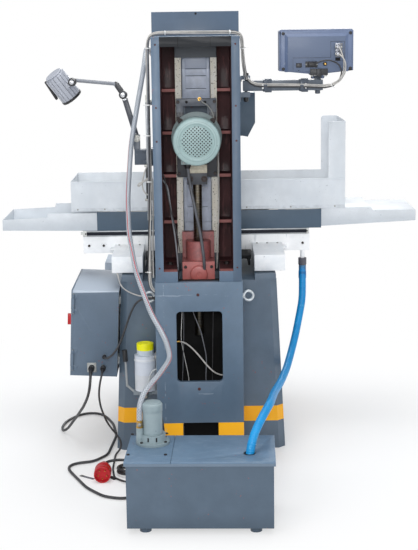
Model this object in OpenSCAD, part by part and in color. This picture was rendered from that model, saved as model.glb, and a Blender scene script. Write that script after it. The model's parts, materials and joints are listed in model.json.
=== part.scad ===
// Manual surface grinder: +Z up, the operator stands at -Y, and the column's open back looks to +Y.
// The origin is on the floor under the middle of the column.

/* [Base] */
// Half of the base's width at the floor
base_foot = 340; // [330:1:350]
// Half of the base's width at its deck
base_top = 307; // [300:1:310]
// Height of the base's deck
deck_z = 692; // [685:1:700]
// Front face of the base
base_front = -500; // [-520:1:-480]
// Rear face of the base
base_rear = 281; // [281:1:285]
// Wall of the base casting
base_wall = 20; // [15:1:25]
// Chamfer on the upright corners of the base
base_chamfer = 25; // [15:1:30]
// Inner side of a way rail
rail_in = 228; // [224:1:232]
// Outer side of a way rail
rail_out = 304; // [298:1:305]
// Height of a way rail over the deck
rail_h = 50; // [45:1:55]

/* [Pedestal] */
// Half of the pedestal's width
ped_half = 166; // [163:1:168]
// Wall of the pedestal
ped_wall = 24; // [18:1:28]
// Rear face of the pedestal and the column
col_rear = 500; // [490:1:510]
// Thickness of the pedestal's top plate
ped_top = 30; // [25:1:35]
// Half of the window's width
win_half = 87; // [80:1:95]
// Lower edge of the window
win_low = 341; // [330:1:350]
// Upper edge of the window
win_high = 616; // [600:1:625]
// Half of the width of the arch at the floor
arch_half = 68; // [60:1:75]
// Height of the arch
arch_h = 178; // [160:1:200]
// Height of the pedestal's upper face over the deck
seat_h = 38; // [35:1:40]

/* [Column] */
// Half of the column's width
col_half = 162; // [160:1:163]
// Height of the column over its seat
col_h = 910; // [900:1:930]
// Front face of the column
col_front = 160; // [158:1:162]
// Thickness of the column's side walls
col_wall = 31; // [26:1:34]
// Outer side of the rails that carry the wheelhead
guide_out = 80; // [78:1:84]
// Rear face of those rails
guide_rear = 258; // [254:1:260]
// Half of the slot between the rails
slot_half = 56; // [54:1:58]
// Thickness of a cross rib
rib_t = 12; // [10:1:16]
// Thickness of the plate at the column's foot
sill_t = 41; // [36:1:44]

/* [Wheelhead] */
// Height of the spindle with the head at mid travel
spindle_z = 1258; // [1256:1:1262]
// Radius of the spindle housing
housing_r = 52; // [50:1:54]
// Front end of the spindle housing
housing_front = -90; // [-92:1:-88]
// Radius of the bearing seats
seat_r = 40; // [38:1:42]
// Radius of the spindle in its bearings
spindle_r = 20; // [18:1:22]
// Radius of the motor flange
flange_r = 97; // [94:1:98]
// Radius of the motor body
motor_r = 80; // [76:1:84]
// Radius of the fan cover
cover_r = 89; // [86:1:92]
// Radius of the grinding wheel
wheel_r = 100; // [95:1:100]
// Width of the grinding wheel
wheel_w = 20; // [16:1:25]
// Place of the wheel's middle
wheel_y = -122; // [-124:1:-120]
// Running clearance of shafts in their bores
run_gap = 0.05; // [0.02:0.01:0.1]
// Clearance between sliding castings
slide_gap = 0.3; // [0.2:0.05:0.5]

/* [Elevating drive] */
// Distance of the elevating screw behind the column's middle plane
screw_y = 330; // [328:1:332]
// Radius of the elevating screw
screw_r = 17; // [15:1:18]
// Radius of the elevating nut
nut_r = 26; // [25:1:28]
// Radius of both bevel gears
bevel_r = 27; // [26:1:27]
// Height of the elevating shaft
lift_z = 652; // [650:1:654]
// Radius of the feed shafts
feed_r = 10; // [8:1:10]
// Radius of the feed handwheels
feed_wheel_r = 80; // [70:1:84]

/* [Saddle] */
// Saddle's end at the side of the control box
saddle_l = 474; // [465:1:480]
// Saddle's end at the side of the readout
saddle_r = -458; // [-465:1:-450]
// Front face of the saddle
saddle_front = -285; // [-287:1:-280]
// Rear face of the saddle
saddle_rear = 20; // [18:1:22]
// Thickness of the saddle over the ways
saddle_t = 89; // [85:1:92]
// Height of the table ways on the saddle
way_h = 25; // [24:1:26]
// Place of the cross feed screw
cross_x = 200; // [198:1:202]
// Height of the cross feed screw over the deck
cross_h = 23; // [22:1:24]
// Place of the table handwheel
hand_x = -200; // [-205:1:-195]
// Radius of the table pinion
pinion_r = 11.7; // [11.5:0.05:11.8]
// Radius of the table handwheel
hand_r = 90; // [80:1:92]

/* [Table] */
// Table's end at the side of the control box
table_l = 413.5; // [405:0.5:415]
// Table's end at the side of the readout
table_r = -505.5; // [-507:0.5:-500]
// Front edge of the table
table_front = -265; // [-268:1:-262]
// Rear edge of the table
table_rear = 25; // [24:1:26]
// Height of the table with its lips
table_h = 78; // [76:1:80]
// Depth of the table's face under its lips
lip_h = 10; // [8:1:12]
// Length of the magnetic chuck
chuck_l = 500; // [450:10:520]
// Width of the magnetic chuck
chuck_w = 200; // [180:1:200]
// Height of the magnetic chuck
chuck_h = 90; // [80:1:92]
// Height of the splash guard's walls
guard_h = 127; // [110:1:127]
// Height of the splash guard's tall end
tall_h = 358; // [340:1:365]
// Sheet of the splash guard
sheet_t = 2; // [1.5:0.5:2.5]
// Length of the pan on the side of the control box
pan_l = 387.5; // [370:0.5:390]
// Length of the pan on the side of the readout
pan_r = 387.5; // [370:0.5:390]

/* [Cabinet] */
// Depth of the cabinet's box from the base
cab_d = 180; // [170:1:185]
// Lower edge of the cabinet
cab_low = 312; // [305:1:320]
// Upper edge of the cabinet
cab_high = 657; // [650:1:660]
// Front face of the cabinet
cab_front = -150; // [-160:1:-140]
// Rear face of the cabinet
cab_rear = 300; // [298:1:302]
// Thickness of the door
door_t = 6; // [4:1:8]

/* [Coolant tank] */
// Length of the tank
tank_l = 495; // [480:1:500]
// Width of the tank
tank_w = 275; // [270:1:280]
// Height of the tank's feet
tank_foot = 22; // [18:1:26]
// Height of the tank's rim
tank_rim = 252; // [245:1:255]
// Place of the tank's middle behind the machine
tank_y = 1042; // [1040:1:1050]
// Turn of the tank on the floor
tank_yaw = -2.3; // [-3:0.1:0]

/* [Lamp and readout] */
// Radius of the lamp's head
lamp_r = 43; // [38:1:45]
// Length of the lamp's head
lamp_l = 112; // [100:1:115]
// Width of the readout's case
dro_w = 287; // [270:1:290]
// Height of the readout's case
dro_h = 166; // [155:1:170]

/* [Hidden] */
$fn = 48;

far = 3000;
base_lean = atan((base_foot - base_top) / deck_z);
rail_z = deck_z + rail_h;
seat_z = deck_z + seat_h;
col_top = seat_z + col_h;
col_in = col_half - col_wall;
sill_z = seat_z + sill_t;
notch_half = 78;
saddle_z = rail_z + saddle_t;
table_z = saddle_z + way_h;
lip_z = table_z + table_h;
face_z = lip_z - lip_h;
chuck_x = (table_l + table_r) / 2;
chuck_y0 = wheel_y - chuck_w / 2;
chuck_y1 = wheel_y + chuck_w / 2;
chuck_z = face_z + chuck_h;
head_low = spindle_z - 52;
head_high = spindle_z + 142;
shoe_low = head_low - 100;
plate_rear = guide_rear + 27;
motor_rear = plate_rear + 145;
collar_z = 706;
shaft_z = table_z - 6 - pinion_r - slide_gap;
cross_z = deck_z + cross_h;
lamp_y = 200;
lamp_pivot = [234, lamp_y, 1249];
lamp_elbow = [282, lamp_y, 1419];
lamp_knob = [479, lamp_y, 1470];
lamp_mid = [519, lamp_y - 52, 1448];
lamp_dir = [-63, -30, -86];
dro_x = -468.5;
dro_y = 155;
dro_tilt = [-477, dro_y, 1474];
dro_swivel = [-196, dro_y + 5, 1444];
oil_x = 215;
oil_y = 340;
oil_pin = [258, 258];
pump_at = [tank_l / 2 - 80.5, tank_y - 69];
hose_hole = [83.5 - tank_l / 2, tank_y + 60];
guard_y0 = wheel_y - 44;
outlet = pump_at + [44, 14];
plug_at = [372, 665];
coil_at = [270, 565];
coil_r = 55;
coil_turns = 2.25;
mains_r = 5.5;

mains_route = [[430, 322, 352], [430, 334, 352], [430, 357, 348], [430, 375, 334], [431, 384, 310],
    [434, 380, 284], [447, 350, 240], [470, 285, 185], [512, 165, 105], [562, 66, 22], [583, 45, 7],
    [592, -20, 7], [580, -96, 7], [548, -166, 7], [514, -204, 7], [478, -215, 7], [442, -200, 7],
    [414, -156, 7], [376, -50, 7], [352, 110, 7], [372, 357, 7], [424, 438, 7], [478, 446, 7],
    [514, 476, 7], [513, 524, 7], [489, 581, 7], [426, 728, 7], [356, 822, 7], [282, 850, 7],
    [224, 812, 7], [203, 720, 7], [212, 610, 7], [coil_at[0] - coil_r, coil_at[1], 7]];
pump_route = [[384, 322, 351], [384, 340, 351], [392, 362, 318], [402, 352, 250], [396, 345, 200],
    [374, 326, 130], [345, 312, 84], [316, 316, 48], [322, 318, 14], [342, 345, 5], [342, 430, 5],
    [342, 520, 5], [334, 610, 5], [286, 676, 8], [204, 720, 20], [146, 830, 5], [130, 884, 60],
    [134, 886, 290], [150, 886, 345], [pump_at[0], pump_at[1] - 73, 350],
    [pump_at[0], pump_at[1] - 61, 350]];
coolant_route = [[outlet[0], outlet[1], 319], [outlet[0], outlet[1], 345],
    [outlet[0] + 2, outlet[1] - 1, 394], [outlet[0] - 13, outlet[1] - 27, 436],
    [145, 850, 464], [100, 740, 494], [126, 650, 551], [180, 570, 627], [238, 465, 768],
    [264, 390, 901], [268, 340, 1028], [252, 310, 1233], [227, 300, 1370], [194, 270, 1540],
    [190, 200, 1592], [186, 140, 1592], [160, 0, 1545], [118, -90, 1478], [100, -118, 1452],
    [100, -118, 1440]];
drain_route = [[-430, 0, 705], [-430, 0, 675], [-430, 5, 620], [-428, 24, 556], [-413, 60, 498],
    [-394, 110, 430], [-370, 190, 374], [-343, 300, 334], [-311, 440, 318], [-278, 600, 326],
    [-260, 760, 350], [-250, 880, 376], [-241, 960, 388], [-220, 1022, 376], [-195, 1064, 345],
    [-174, 1088, 305], [-165, 1099, 275], [hose_hole[0], hose_hole[1], 240]];
loom_route = [[ped_half + 0.2, 470, 690], [176, 470, 690], [187, 458, 720], [179, 400, 1100],
    [179, 402, col_top - 40], [173, 415, col_top + 6], [140, 440, col_top + 14],
    [-140, 432, col_top + 14], [-172, 410, col_top + 8], [-180, 340, 1540], [-190, 270, 1490],
    [-196, 215, 1476], [-196, 180.5, 1476]];
motor_route = [[35, 400, 1165], [35, 400, 1140], [24, 425, 1070], [-10, 432, 900], [-22, 425, 790],
    [-22, 412, 750], [-22, 400.3, 750]];

// Unit vector along v
function unit(v) = v / norm(v);

// Direction of a route at point i
function heading(p, i) = unit(p[min(i + 1, len(p) - 1)] - p[max(i - 1, 0)]);

// Side vectors of a route, each turned as little as possible from the one before
function sides_of(p, i = 0, u = [1, 0.3, 0.2]) =
    i == len(p) ? [] : let(t = heading(p, i), w = unit(u - (u * t) * t))
    concat([w], sides_of(p, i + 1, w));

// Tube of radius r along the points p, with n sides
module sweep(p, r, n = 8) {
    side = sides_of(p);
    rings = len(p);
    points = [for (i = [0:rings - 1]) let(t = heading(p, i), u = side[i], v = cross(t, u))
        for (k = [0:n - 1]) p[i] + r * (cos(360 * k / n) * u + sin(360 * k / n) * v)];
    skin = [for (i = [0:rings - 2], k = [0:n - 1]) let(a = i * n + k, b = i * n + (k + 1) % n)
        each [[a, b + n, b], [a, a + n, b + n]]];
    ends = [for (k = [1:n - 2]) each [[0, k, k + 1],
        [(rings - 1) * n, (rings - 1) * n + k + 1, (rings - 1) * n + k]]];
    polyhedron(points, concat(skin, ends));
}

// Block between two limits on each axis
module block(x, y, z) {
    translate([x[0], y[0], z[0]]) cube([x[1] - x[0], y[1] - y[0], z[1] - z[0]]);
}

// The same shape on both sides of the middle plane
module both_sides() {
    children();
    mirror([1, 0, 0]) children();
}

// Outline drawn in X and Z, carried from y0 to y1
module along_y(y0, y1) {
    translate([0, y1, 0]) rotate([90, 0, 0]) linear_extrude(y1 - y0) children();
}

// Outline drawn in Y and Z, carried from x0 to x1
module along_x(x0, x1) {
    translate([x0, 0, 0]) rotate([90, 0, 90]) linear_extrude(x1 - x0) children();
}

// Round bar from y0 to y1
module rod_y(x, z, y0, y1, r) {
    translate([x, y1, z]) rotate([90, 0, 0]) cylinder(r = r, h = y1 - y0);
}

// Round bar from x0 to x1
module rod_x(y, z, x0, x1, r) {
    translate([x0, y, z]) rotate([0, 90, 0]) cylinder(r = r, h = x1 - x0);
}

// Round bar from z0 to z1
module rod_z(x, y, z0, z1, r) {
    translate([x, y, z0]) cylinder(r = r, h = z1 - z0);
}

// Round bar between two points
module rod_between(a, b, r) {
    translate(a) aim(b - a) cylinder(r = r, h = norm(b - a));
}

// Turns +Z to the direction d
module aim(d) {
    rotate([0, acos(d[2] / norm(d)), atan2(d[1], d[0])]) children();
}

// Frame of the base's leaning side, with X away from the wall
module on_side() {
    translate([base_foot, 0, 0]) rotate([0, -base_lean, 0]) children();
}

// Hexagon head of a screw, seen along +Y
module hex_y(x, z, y0, y1, r) {
    translate([x, y1, z]) rotate([90, 0, 0]) cylinder(r = r, h = y1 - y0, $fn = 6);
}

// Handwheel that turns about Y, with its rim between y0 and y1 and its handle towards -Y
module handwheel(x, z, y0, y1, r, bore) {
    rim = 11;
    translate([x, (y0 + y1) / 2, z]) rotate([90, 0, 0]) rotate_extrude($fn = 96)
        translate([r - rim, 0]) circle(r = rim);
    for (a = [90:120:330]) translate([x, 0, z]) rotate([0, a, 0])
        block([bore + 8, r - rim], [y0 + 4, y1 - 4], [-9, 9]);
    difference() {
        rod_y(x, z, y0 - 6, y1 + 6, bore + 14);
        rod_y(x, z, y0 - 4, y1 + 7, bore);
    }
    rod_y(x, z + r - rim, y0 - 22, y0 + 8, 5);
    translate([x, y0 - 22, z + r - rim]) rotate([90, 0, 0]) rotate_extrude()
        polygon([[0, 0], [8, 0], [12, 22], [11, 50], [6, 56], [0, 58]]);
}

module base() {
    color("gainsboro") {
        difference() {
            along_y(base_front, base_rear) polygon([[-base_foot, 0], [base_foot, 0],
                [base_top, deck_z], [-base_top, deck_z]]);
            along_y(base_front + base_wall, base_rear - base_wall)
                polygon([[base_wall - base_foot, -1], [base_foot - base_wall, -1],
                [base_top - base_wall, deck_z - 18], [base_wall - base_top, deck_z - 18]]);
            both_sides() for (y = [base_front, base_rear]) translate([base_foot, y, -20])
                rotate([0, -base_lean, 0]) rotate([0, 0, 45])
                translate([-base_chamfer * 0.7071, -base_chamfer * 0.7071, 0])
                cube([base_chamfer * 1.4142, base_chamfer * 1.4142, deck_z + 60]);
            rod_y(0, lift_z, base_front - 1, base_rear + 1, feed_r + run_gap);
        }
        both_sides() {
            block([rail_in, rail_out], [-460, 125], [deck_z, rail_z]);
            block([rail_in - 7, rail_out], [125, base_rear], [deck_z, deck_z + 23]);
        }
        block([-ped_half, ped_half], [150, base_rear], [deck_z, seat_z]);
        block([base_wall - base_foot, base_foot - base_wall], [-30, 30], [0, 16]);
        for (y = [[-500, -472], [-62, -40]]) difference() {
            block([cross_x - 19, cross_x + 19], y, [deck_z, rail_z - 6]);
            rod_y(cross_x, cross_z, y[0] - 1, y[1] + 1, feed_r + run_gap);
        }
    }
}

module pedestal() {
    color("gainsboro") {
        both_sides() block([ped_half - ped_wall, ped_half], [base_rear, col_rear],
            [0, seat_z - ped_top]);
        difference() {
            along_y(col_rear - ped_wall, col_rear) difference() {
                translate([ped_wall - ped_half, 0])
                    square([2 * (ped_half - ped_wall), seat_z - ped_top]);
                translate([-arch_half, -1]) square([2 * arch_half, arch_h + 1]);
                hull() for (x = [-1, 1], z = [win_low + 15, win_high - 15])
                    translate([x * (win_half - 15), z]) circle(r = 15, $fn = 32);
            }
        }
        difference() {
            block([-ped_half, ped_half], [base_rear, col_rear], [seat_z - ped_top, seat_z]);
            block([-notch_half, notch_half], [base_rear - 1, 440], [0, seat_z + 1]);
        }
    }
}

module column() {
    color("gainsboro") {
        both_sides() {
            block([col_in, col_half], [col_front, col_rear], [seat_z, col_top]);
            block([slot_half, col_in], [col_front, 190], [sill_z, col_top - 36]);
            block([slot_half, guide_out], [190, guide_rear], [sill_z, col_top - 36]);
            for (z = [927, 1107, 1273, 1436])
                block([guide_out, col_in], [190, 275], [z - rib_t / 2, z + rib_t / 2]);
        }
        difference() {
            block([-col_in, col_in], [col_front, col_rear], [seat_z, sill_z]);
            block([-notch_half, notch_half], [guide_rear, col_rear + 1], [0, far]);
        }
        difference() {
            block([-col_in, col_in], [col_front, col_rear], [col_top - 36, col_top]);
            block([-slot_half, slot_half], [col_front - 1, 212], [0, far]);
        }
        block([-slot_half, slot_half], [212, guide_rear], [col_top - 82, col_top - 36]);
    }
}

module gearbox_housing() {
    half = 62;
    color("indianred") difference() {
        union() {
            block([-half, half], [base_rear, 400], [lift_z - 35, 790]);
            block([-half, half], [guide_rear + 4, 300], [790, 890]);
            rod_z(0, screw_y, 790, 862, 48);
        }
        rod_z(0, screw_y, 600, 900, screw_r + 4);
        rod_z(0, screw_y, 700, 780, nut_r + run_gap);
        rod_z(0, screw_y, lift_z - 20, collar_z + slide_gap, bevel_r + 8);
        rod_y(0, lift_z, base_rear - 1, screw_y - 18, bevel_r + 3);
    }
}

// Bevel gear of 45 degrees, with its small end at z = 0
module bevel() {
    h = 7;
    difference() {
        cylinder(r1 = bevel_r - h - 0.4, r2 = bevel_r - 0.4, h = h);
        for (a = [0:18:342]) rotate([0, 0, a]) translate([bevel_r - h / 2, 0, h / 2])
            rotate([0, 45, 0]) cube([3, 2.6, 3 * h], center = true);
    }
}

module elevating_nut() {
    color("darkgoldenrod") difference() {
        union() {
            rod_z(0, screw_y, lift_z + bevel_r, 778, nut_r);
            rod_z(0, screw_y, collar_z - 14, collar_z, nut_r + 6);
            translate([0, screw_y, lift_z + bevel_r - 7]) bevel();
        }
        rod_z(0, screw_y, 600, 800, screw_r + run_gap);
    }
}

module elevating_handwheel() {
    y0 = base_front - 57;
    color("dimgray") {
        rod_y(0, lift_z, y0 - 6, screw_y - bevel_r + 4, feed_r);
        rod_y(0, lift_z, base_rear + 8, screw_y - bevel_r, 19);
        translate([0, screw_y - bevel_r + 7, lift_z]) rotate([90, 0, 0]) bevel();
        handwheel(0, lift_z, y0, y0 + 24, feed_wheel_r, feed_r - 0.01);
    }
}

module elevating_screw() {
    color("silver") {
        rod_z(0, screw_y, 488, 1100, screw_r);
        for (z = [1009:7:1079]) rod_z(0, screw_y, z, z + 3, screw_r + 0.6);
    }
    color("darkgray") difference() {
        block([-38, 38], [plate_rear, 375], [1084, 1128]);
        rod_z(0, screw_y, 1000, 1100, screw_r);
    }
    color("ivory") block([-38, 38], [plate_rear, 368], [1128, spindle_z - flange_r - 3]);
}

module wheelhead() {
    color("gainsboro") difference() {
        union() {
            rod_y(0, spindle_z, housing_front, col_front - 15, housing_r);
            along_y(-60, col_front - 15) polygon([[-95, head_low + 20], [-80, head_low],
                [80, head_low], [95, head_low + 20], [95, head_high - 12], [83, head_high],
                [-83, head_high], [-95, head_high - 12]]);
            block([-150, 150], [col_front - 15, col_front - slide_gap], [shoe_low, head_high]);
            block([slide_gap - slot_half, slot_half - slide_gap],
                [col_front - slide_gap, guide_rear + slide_gap], [shoe_low, head_high]);
        }
        rod_y(0, spindle_z, housing_front - 1, guide_rear + 1, seat_r);
        block([-42, 42], [212, guide_rear + 1], [shoe_low + 22, head_high - 26]);
    }
}

module slide_plate() {
    y0 = guide_rear + slide_gap;
    color("dimgray") difference() {
        block([-77.5, 77.5], [y0, plate_rear], [shoe_low - 3, head_high + 4]);
        rod_y(0, spindle_z, y0 - 1, plate_rear + 1, seat_r + 16);
        block([-49, 49], [y0 - 1, plate_rear + 1], [spindle_z + 50, head_high - 25]);
    }
}

module motor_body() {
    y0 = plate_rear;
    color("darkgray") {
        difference() {
            union() {
                rod_y(0, spindle_z, y0, y0 + 14, flange_r);
                rod_y(0, spindle_z, y0 + 14, motor_rear, motor_r - 6);
                for (a = [0:12:348]) translate([0, 0, spindle_z]) rotate([0, a, 0])
                    block([motor_r - 10, motor_r], [y0 + 20, motor_rear - 12], [-1.5, 1.5]);
            }
            rod_y(0, spindle_z, y0 + 10, motor_rear - 8, motor_r - 14);
            rod_y(0, spindle_z, y0 - 1, motor_rear + 1, 15 + run_gap);
        }
        block([10, 60], [y0 + 80, y0 + 130], [1165, spindle_z - 62]);
    }
}

module fan_cover() {
    y1 = col_rear + 10;
    color("lightgray") difference() {
        rod_y(0, spindle_z, motor_rear - 8, y1, cover_r);
        rod_y(0, spindle_z, motor_rear, y1 - 3, cover_r - 3);
        rod_y(0, spindle_z, motor_rear - 9, motor_rear + 1, motor_r - 6 + 0.02);
        for (r = [22:11:77]) for (a = [0:60:300]) translate([0, 0, spindle_z])
            rotate([90, a + 8, 0]) translate([0, 0, -y1 - 1])
            rotate_extrude(angle = 44) translate([r, 0]) square([6, 6]);
    }
}

module spindle_bearings() {
    color("silver") for (y = [-80, 118]) difference() {
        rod_y(0, spindle_z, y, y + 20, seat_r - run_gap);
        rod_y(0, spindle_z, y - 1, y + 21, spindle_r + run_gap);
    }
}

module spindle() {
    shoulder = wheel_y + wheel_w / 2 + 9;
    color("silver") {
        rod_y(0, spindle_z, shoulder, 150, spindle_r);
        rod_y(0, spindle_z, wheel_y - 34, shoulder, 12);
        rod_y(0, spindle_z, 150, 482, 15);
        rod_y(0, spindle_z, plate_rear + 22, motor_rear - 20, 60);
        difference() {
            rod_y(0, spindle_z, 445, 482, 30);
            rod_y(0, spindle_z, 444, 483, 15);
        }
        for (a = [0:45:315]) translate([0, 0, spindle_z]) rotate([0, a, 0])
            block([28, 72], [450, 478], [-2, 2]);
    }
}

module grinding_wheel() {
    color("lightsteelblue") difference() {
        rod_y(0, spindle_z, wheel_y - wheel_w / 2, wheel_y + wheel_w / 2, wheel_r);
        rod_y(0, spindle_z, wheel_y - wheel_w, wheel_y + wheel_w, 31.75);
    }
}

module wheel_flange() {
    y0 = wheel_y - wheel_w / 2;
    y1 = wheel_y + wheel_w / 2;
    color("dimgray") {
        difference() {
            union() {
                rod_y(0, spindle_z, y0, y1, 31.7);
                rod_y(0, spindle_z, y1, y1 + 9, 45);
                rod_y(0, spindle_z, y0 - 9, y0, 45);
            }
            rod_y(0, spindle_z, y0 - 10, y1 + 10, 12.02);
            for (a = [0:90:270]) translate([0, 0, spindle_z]) rotate([0, a, 0])
                rod_y(26, 0, y0 - 10, y0 - 5, 3);
        }
        difference() {
            hex_y(0, spindle_z, y0 - 21, y0 - 9, 20);
            rod_y(0, spindle_z, y0 - 22, y0 - 8, 12.02);
        }
    }
}

module wheel_guard() {
    y0 = guard_y0;
    y1 = housing_front;
    wall = 5;
    color("gainsboro") {
        difference() {
            translate([0, 0, spindle_z]) along_y(y0, y1) polygon([[-242, 23], [-211, -35],
                [-190, -31], [118, -31], [118, 134], [106, 146], [-242, 146]]);
            translate([0, 0, spindle_z]) along_y(y0 - 1, y1 - wall) polygon([[-237, 24],
                [-208, -29], [-208, -58], [113, -58], [113, 132], [104, 141], [-237, 141]]);
            rod_y(0, spindle_z, y1 - wall - 1, y1 + 1, 50);
            block([-50, 50], [y1 - wall - 1, y1 + 1], [spindle_z - 58, spindle_z]);
        }
        for (z = [[spindle_z - 18, spindle_z + 32], [spindle_z + 72, spindle_z + 122]]) {
            rod_z(123, y0 + 3, z[0], z[1], 5);
            block([117, 123], [y0 + 0.5, y0 + 5.5], z);
        }
    }
}

module guard_door() {
    y0 = guard_y0;
    color("whitesmoke") {
        translate([0, 0, spindle_z]) along_y(y0 - 6, y0 - slide_gap) polygon([[-242, 23],
            [-211, -35], [-190, -31], [112, -31], [112, 134], [106, 146], [-242, 146]]);
        rod_z(123, y0 + 3, spindle_z + 37, spindle_z + 66, 5);
        block([100, 123], [y0 - 6, y0 - slide_gap], [spindle_z + 37, spindle_z + 66]);
        block([118.5, 123], [y0 - 4, y0 + 3], [spindle_z + 37, spindle_z + 66]);
        rod_y(-215, spindle_z + 82, y0 - 24, y0 - 6, 11);
    }
}

module coolant_nozzle() {
    color("silver") {
        rod_z(100, -118, spindle_z + 146, spindle_z + 182, 9);
        block([86, 114], [-132, -104], [spindle_z + 152, spindle_z + 170]);
        rod_between([114, -118, spindle_z + 161], [142, -118, spindle_z + 161], 6);
        rod_between([142, -118, spindle_z + 167], [142, -118, spindle_z + 4], 6);
        rod_between([142, -118, spindle_z + 8], [122, -118, spindle_z - 42], 6);
        difference() {
            block([119, 141], [-130, -106], [spindle_z - 40, spindle_z - 10]);
            block([110, 150], [-124, -112], [spindle_z - 58, spindle_z - 32]);
        }
    }
}

module valve_lever() {
    color("firebrick") {
        rod_y(100, spindle_z + 161, -138, -132 - slide_gap, 6);
        block([95, 105], [-144, -138], [spindle_z + 154, spindle_z + 194]);
    }
}

module slot_plates() {
    color("lightgray") {
        block([-170, 170], [col_front - 20, col_front - 14], [head_high, head_high + 332]);
        for (s = [[head_high, 1437], [1439, 1486], [1488, 1513], [1515, 1567]])
            block([-54, 54], [196, 206], s);
        for (s = [[915, 975], [977, 1050], [1052, shoe_low]]) block([-54, 54], [196, 206], s);
        for (z = [[1430, 1564], [918, shoe_low]]) both_sides()
            block([40, 54], [206, 210], z);
    }
}

module saddle() {
    color("gainsboro") {
        difference() {
            union() {
                block([saddle_r, saddle_l], [saddle_front, saddle_rear - 8],
                    [saddle_z - 31, saddle_z]);
                both_sides() block([rail_in + 3, rail_out - 3], [saddle_front, saddle_rear - 18],
                    [rail_z, saddle_z - 31]);
                block([-365, 365], [saddle_rear - 18, saddle_rear], [rail_z + 19, saddle_z]);
                block([saddle_r, saddle_l], [saddle_rear - 26, saddle_rear - 8],
                    [rail_z + 19, saddle_z]);
                block([saddle_r, saddle_l], [saddle_front, saddle_front + 18],
                    [rail_z + 19, saddle_z]);
                for (x = [[saddle_r, saddle_r + 16], [saddle_l - 16, saddle_l]])
                    block(x, [saddle_front, saddle_rear - 8], [rail_z + 19, saddle_z]);
                for (y = [-215, -62]) block([saddle_r, saddle_l], [y, y + 47],
                    [saddle_z, table_z]);
                block([hand_x - 60, hand_x + 60], [-325, -294], [761, 880]);
                block([hand_x - 30, hand_x + 30], [-294, saddle_front + 24], [780, table_z - 2]);
                block([cross_x - 17, cross_x + 17], [-200, -150], [deck_z + 5, saddle_z - 31]);
                rod_z(saddle_r + 28, 0, 705, rail_z + 19, 9);
            }
            block([hand_x - 18, hand_x + 18], [saddle_front + 24, -216],
                [shaft_z - 14, table_z + 1]);
            rod_y(hand_x, shaft_z, -330, saddle_front + 30, 7 + run_gap);
            rod_y(cross_x, cross_z, -201, -149, feed_r + run_gap);
            rod_z(saddle_r + 28, 0, 700, rail_z + 19, 6);
        }
    }
}

module way_covers() {
    sheet = 2;
    color("gray") both_sides() {
        translate([0, 0, saddle_z]) along_x(221, 343) polygon([[saddle_rear, -33], [110, -42],
            [250, -45], [250, -109], [248, -109], [248, -47], [110, -44], [saddle_rear, -35]]);
        for (x = [221, 341]) translate([0, 0, saddle_z]) along_x(x, x + sheet)
            polygon([[saddle_rear, -61], [saddle_rear, -35], [110, -44], [248, -47],
                [248, -109], [200, -105]]);
        block([343, 360], [saddle_rear, saddle_rear + 60], [saddle_z - 35 - 12, saddle_z - 35 - 9]);
    }
}

module x_scale() {
    color("darkgray") {
        block([saddle_r + 6, saddle_l], [saddle_rear - 18, saddle_rear], [saddle_z, table_z - 1]);
        block([saddle_l, saddle_l + 9], [saddle_rear - 14, saddle_rear - 4],
            [saddle_z + 8, saddle_z + 18]);
    }
}

// Zigzag strip of even folds from u0 to u1, t thick, between v0 and v1
module zigzag(u0, u1, v0, v1, t, folds = 9) {
    step = (u1 - u0) / folds;
    polygon(concat([for (i = [0:folds]) each [[u0 + i * step, v1],
            if (i < folds) [u0 + (i + 0.5) * step, v0]]],
        [for (i = [folds:-1:0]) each [[u0 + i * step, v1 - t],
            if (i > 0) [u0 + (i - 0.5) * step, v0 - t]]]));
}

module cross_bellows() {
    y0 = saddle_rear + slide_gap;
    y1 = 150 - slide_gap;
    top = rail_z + 28;
    color("black") {
        along_x(-212, 212) zigzag(y0, y1, top - 14, top, 4);
        both_sides() translate([-212, 0, deck_z + 8]) linear_extrude(top - 12 - deck_z - 8)
            rotate([0, 0, 90]) mirror([0, 1, 0]) zigzag(y0, y1, 6, 12, 3);
    }
}

module table_handwheel() {
    y0 = saddle_front - 78;
    color("dimgray") {
        rod_y(hand_x, shaft_z, y0 - 4, -218, 7);
        difference() {
            rod_y(hand_x, shaft_z, -255, -225, pinion_r);
            for (a = [0:30:330]) translate([hand_x, 0, shaft_z]) rotate([0, a, 0])
                block([pinion_r - 2.5, pinion_r + 2], [-256, -224], [-1.4, 1.4]);
            rod_y(hand_x, shaft_z, -256, -224, 6.9);
        }
        handwheel(hand_x, shaft_z, y0, y0 + 20, hand_r, 6.99);
    }
}

module table() {
    color("silver") difference() {
        union() {
            block([table_r, table_l], [table_front, table_rear], [table_z, lip_z]);
            block([table_r + 6, table_l - 6], [-252, -228], [table_z - 6, table_z]);
        }
        block([table_r + 10, table_l - 10], [table_front + 10, table_rear - 10],
            [face_z, lip_z + 1]);
        for (y = [[table_front + 10, chuck_y0 - 4], [chuck_y1 + 4, table_rear - 10]])
            block([table_r + 10, table_l - 10], y, [face_z - 14, lip_z]);
        block([table_r - 1, table_l + 1], [wheel_y - 6, wheel_y + 6], [face_z - 24, lip_z + 1]);
        block([table_r - 1, table_l + 1], [wheel_y - 10.5, wheel_y + 10.5],
            [face_z - 24, face_z - 14]);
        for (x = [table_r + 9:12:table_l - 12]) block([x, x + 5], [-253, -227],
            [table_z - 7, table_z - 2]);
    }
}

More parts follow.
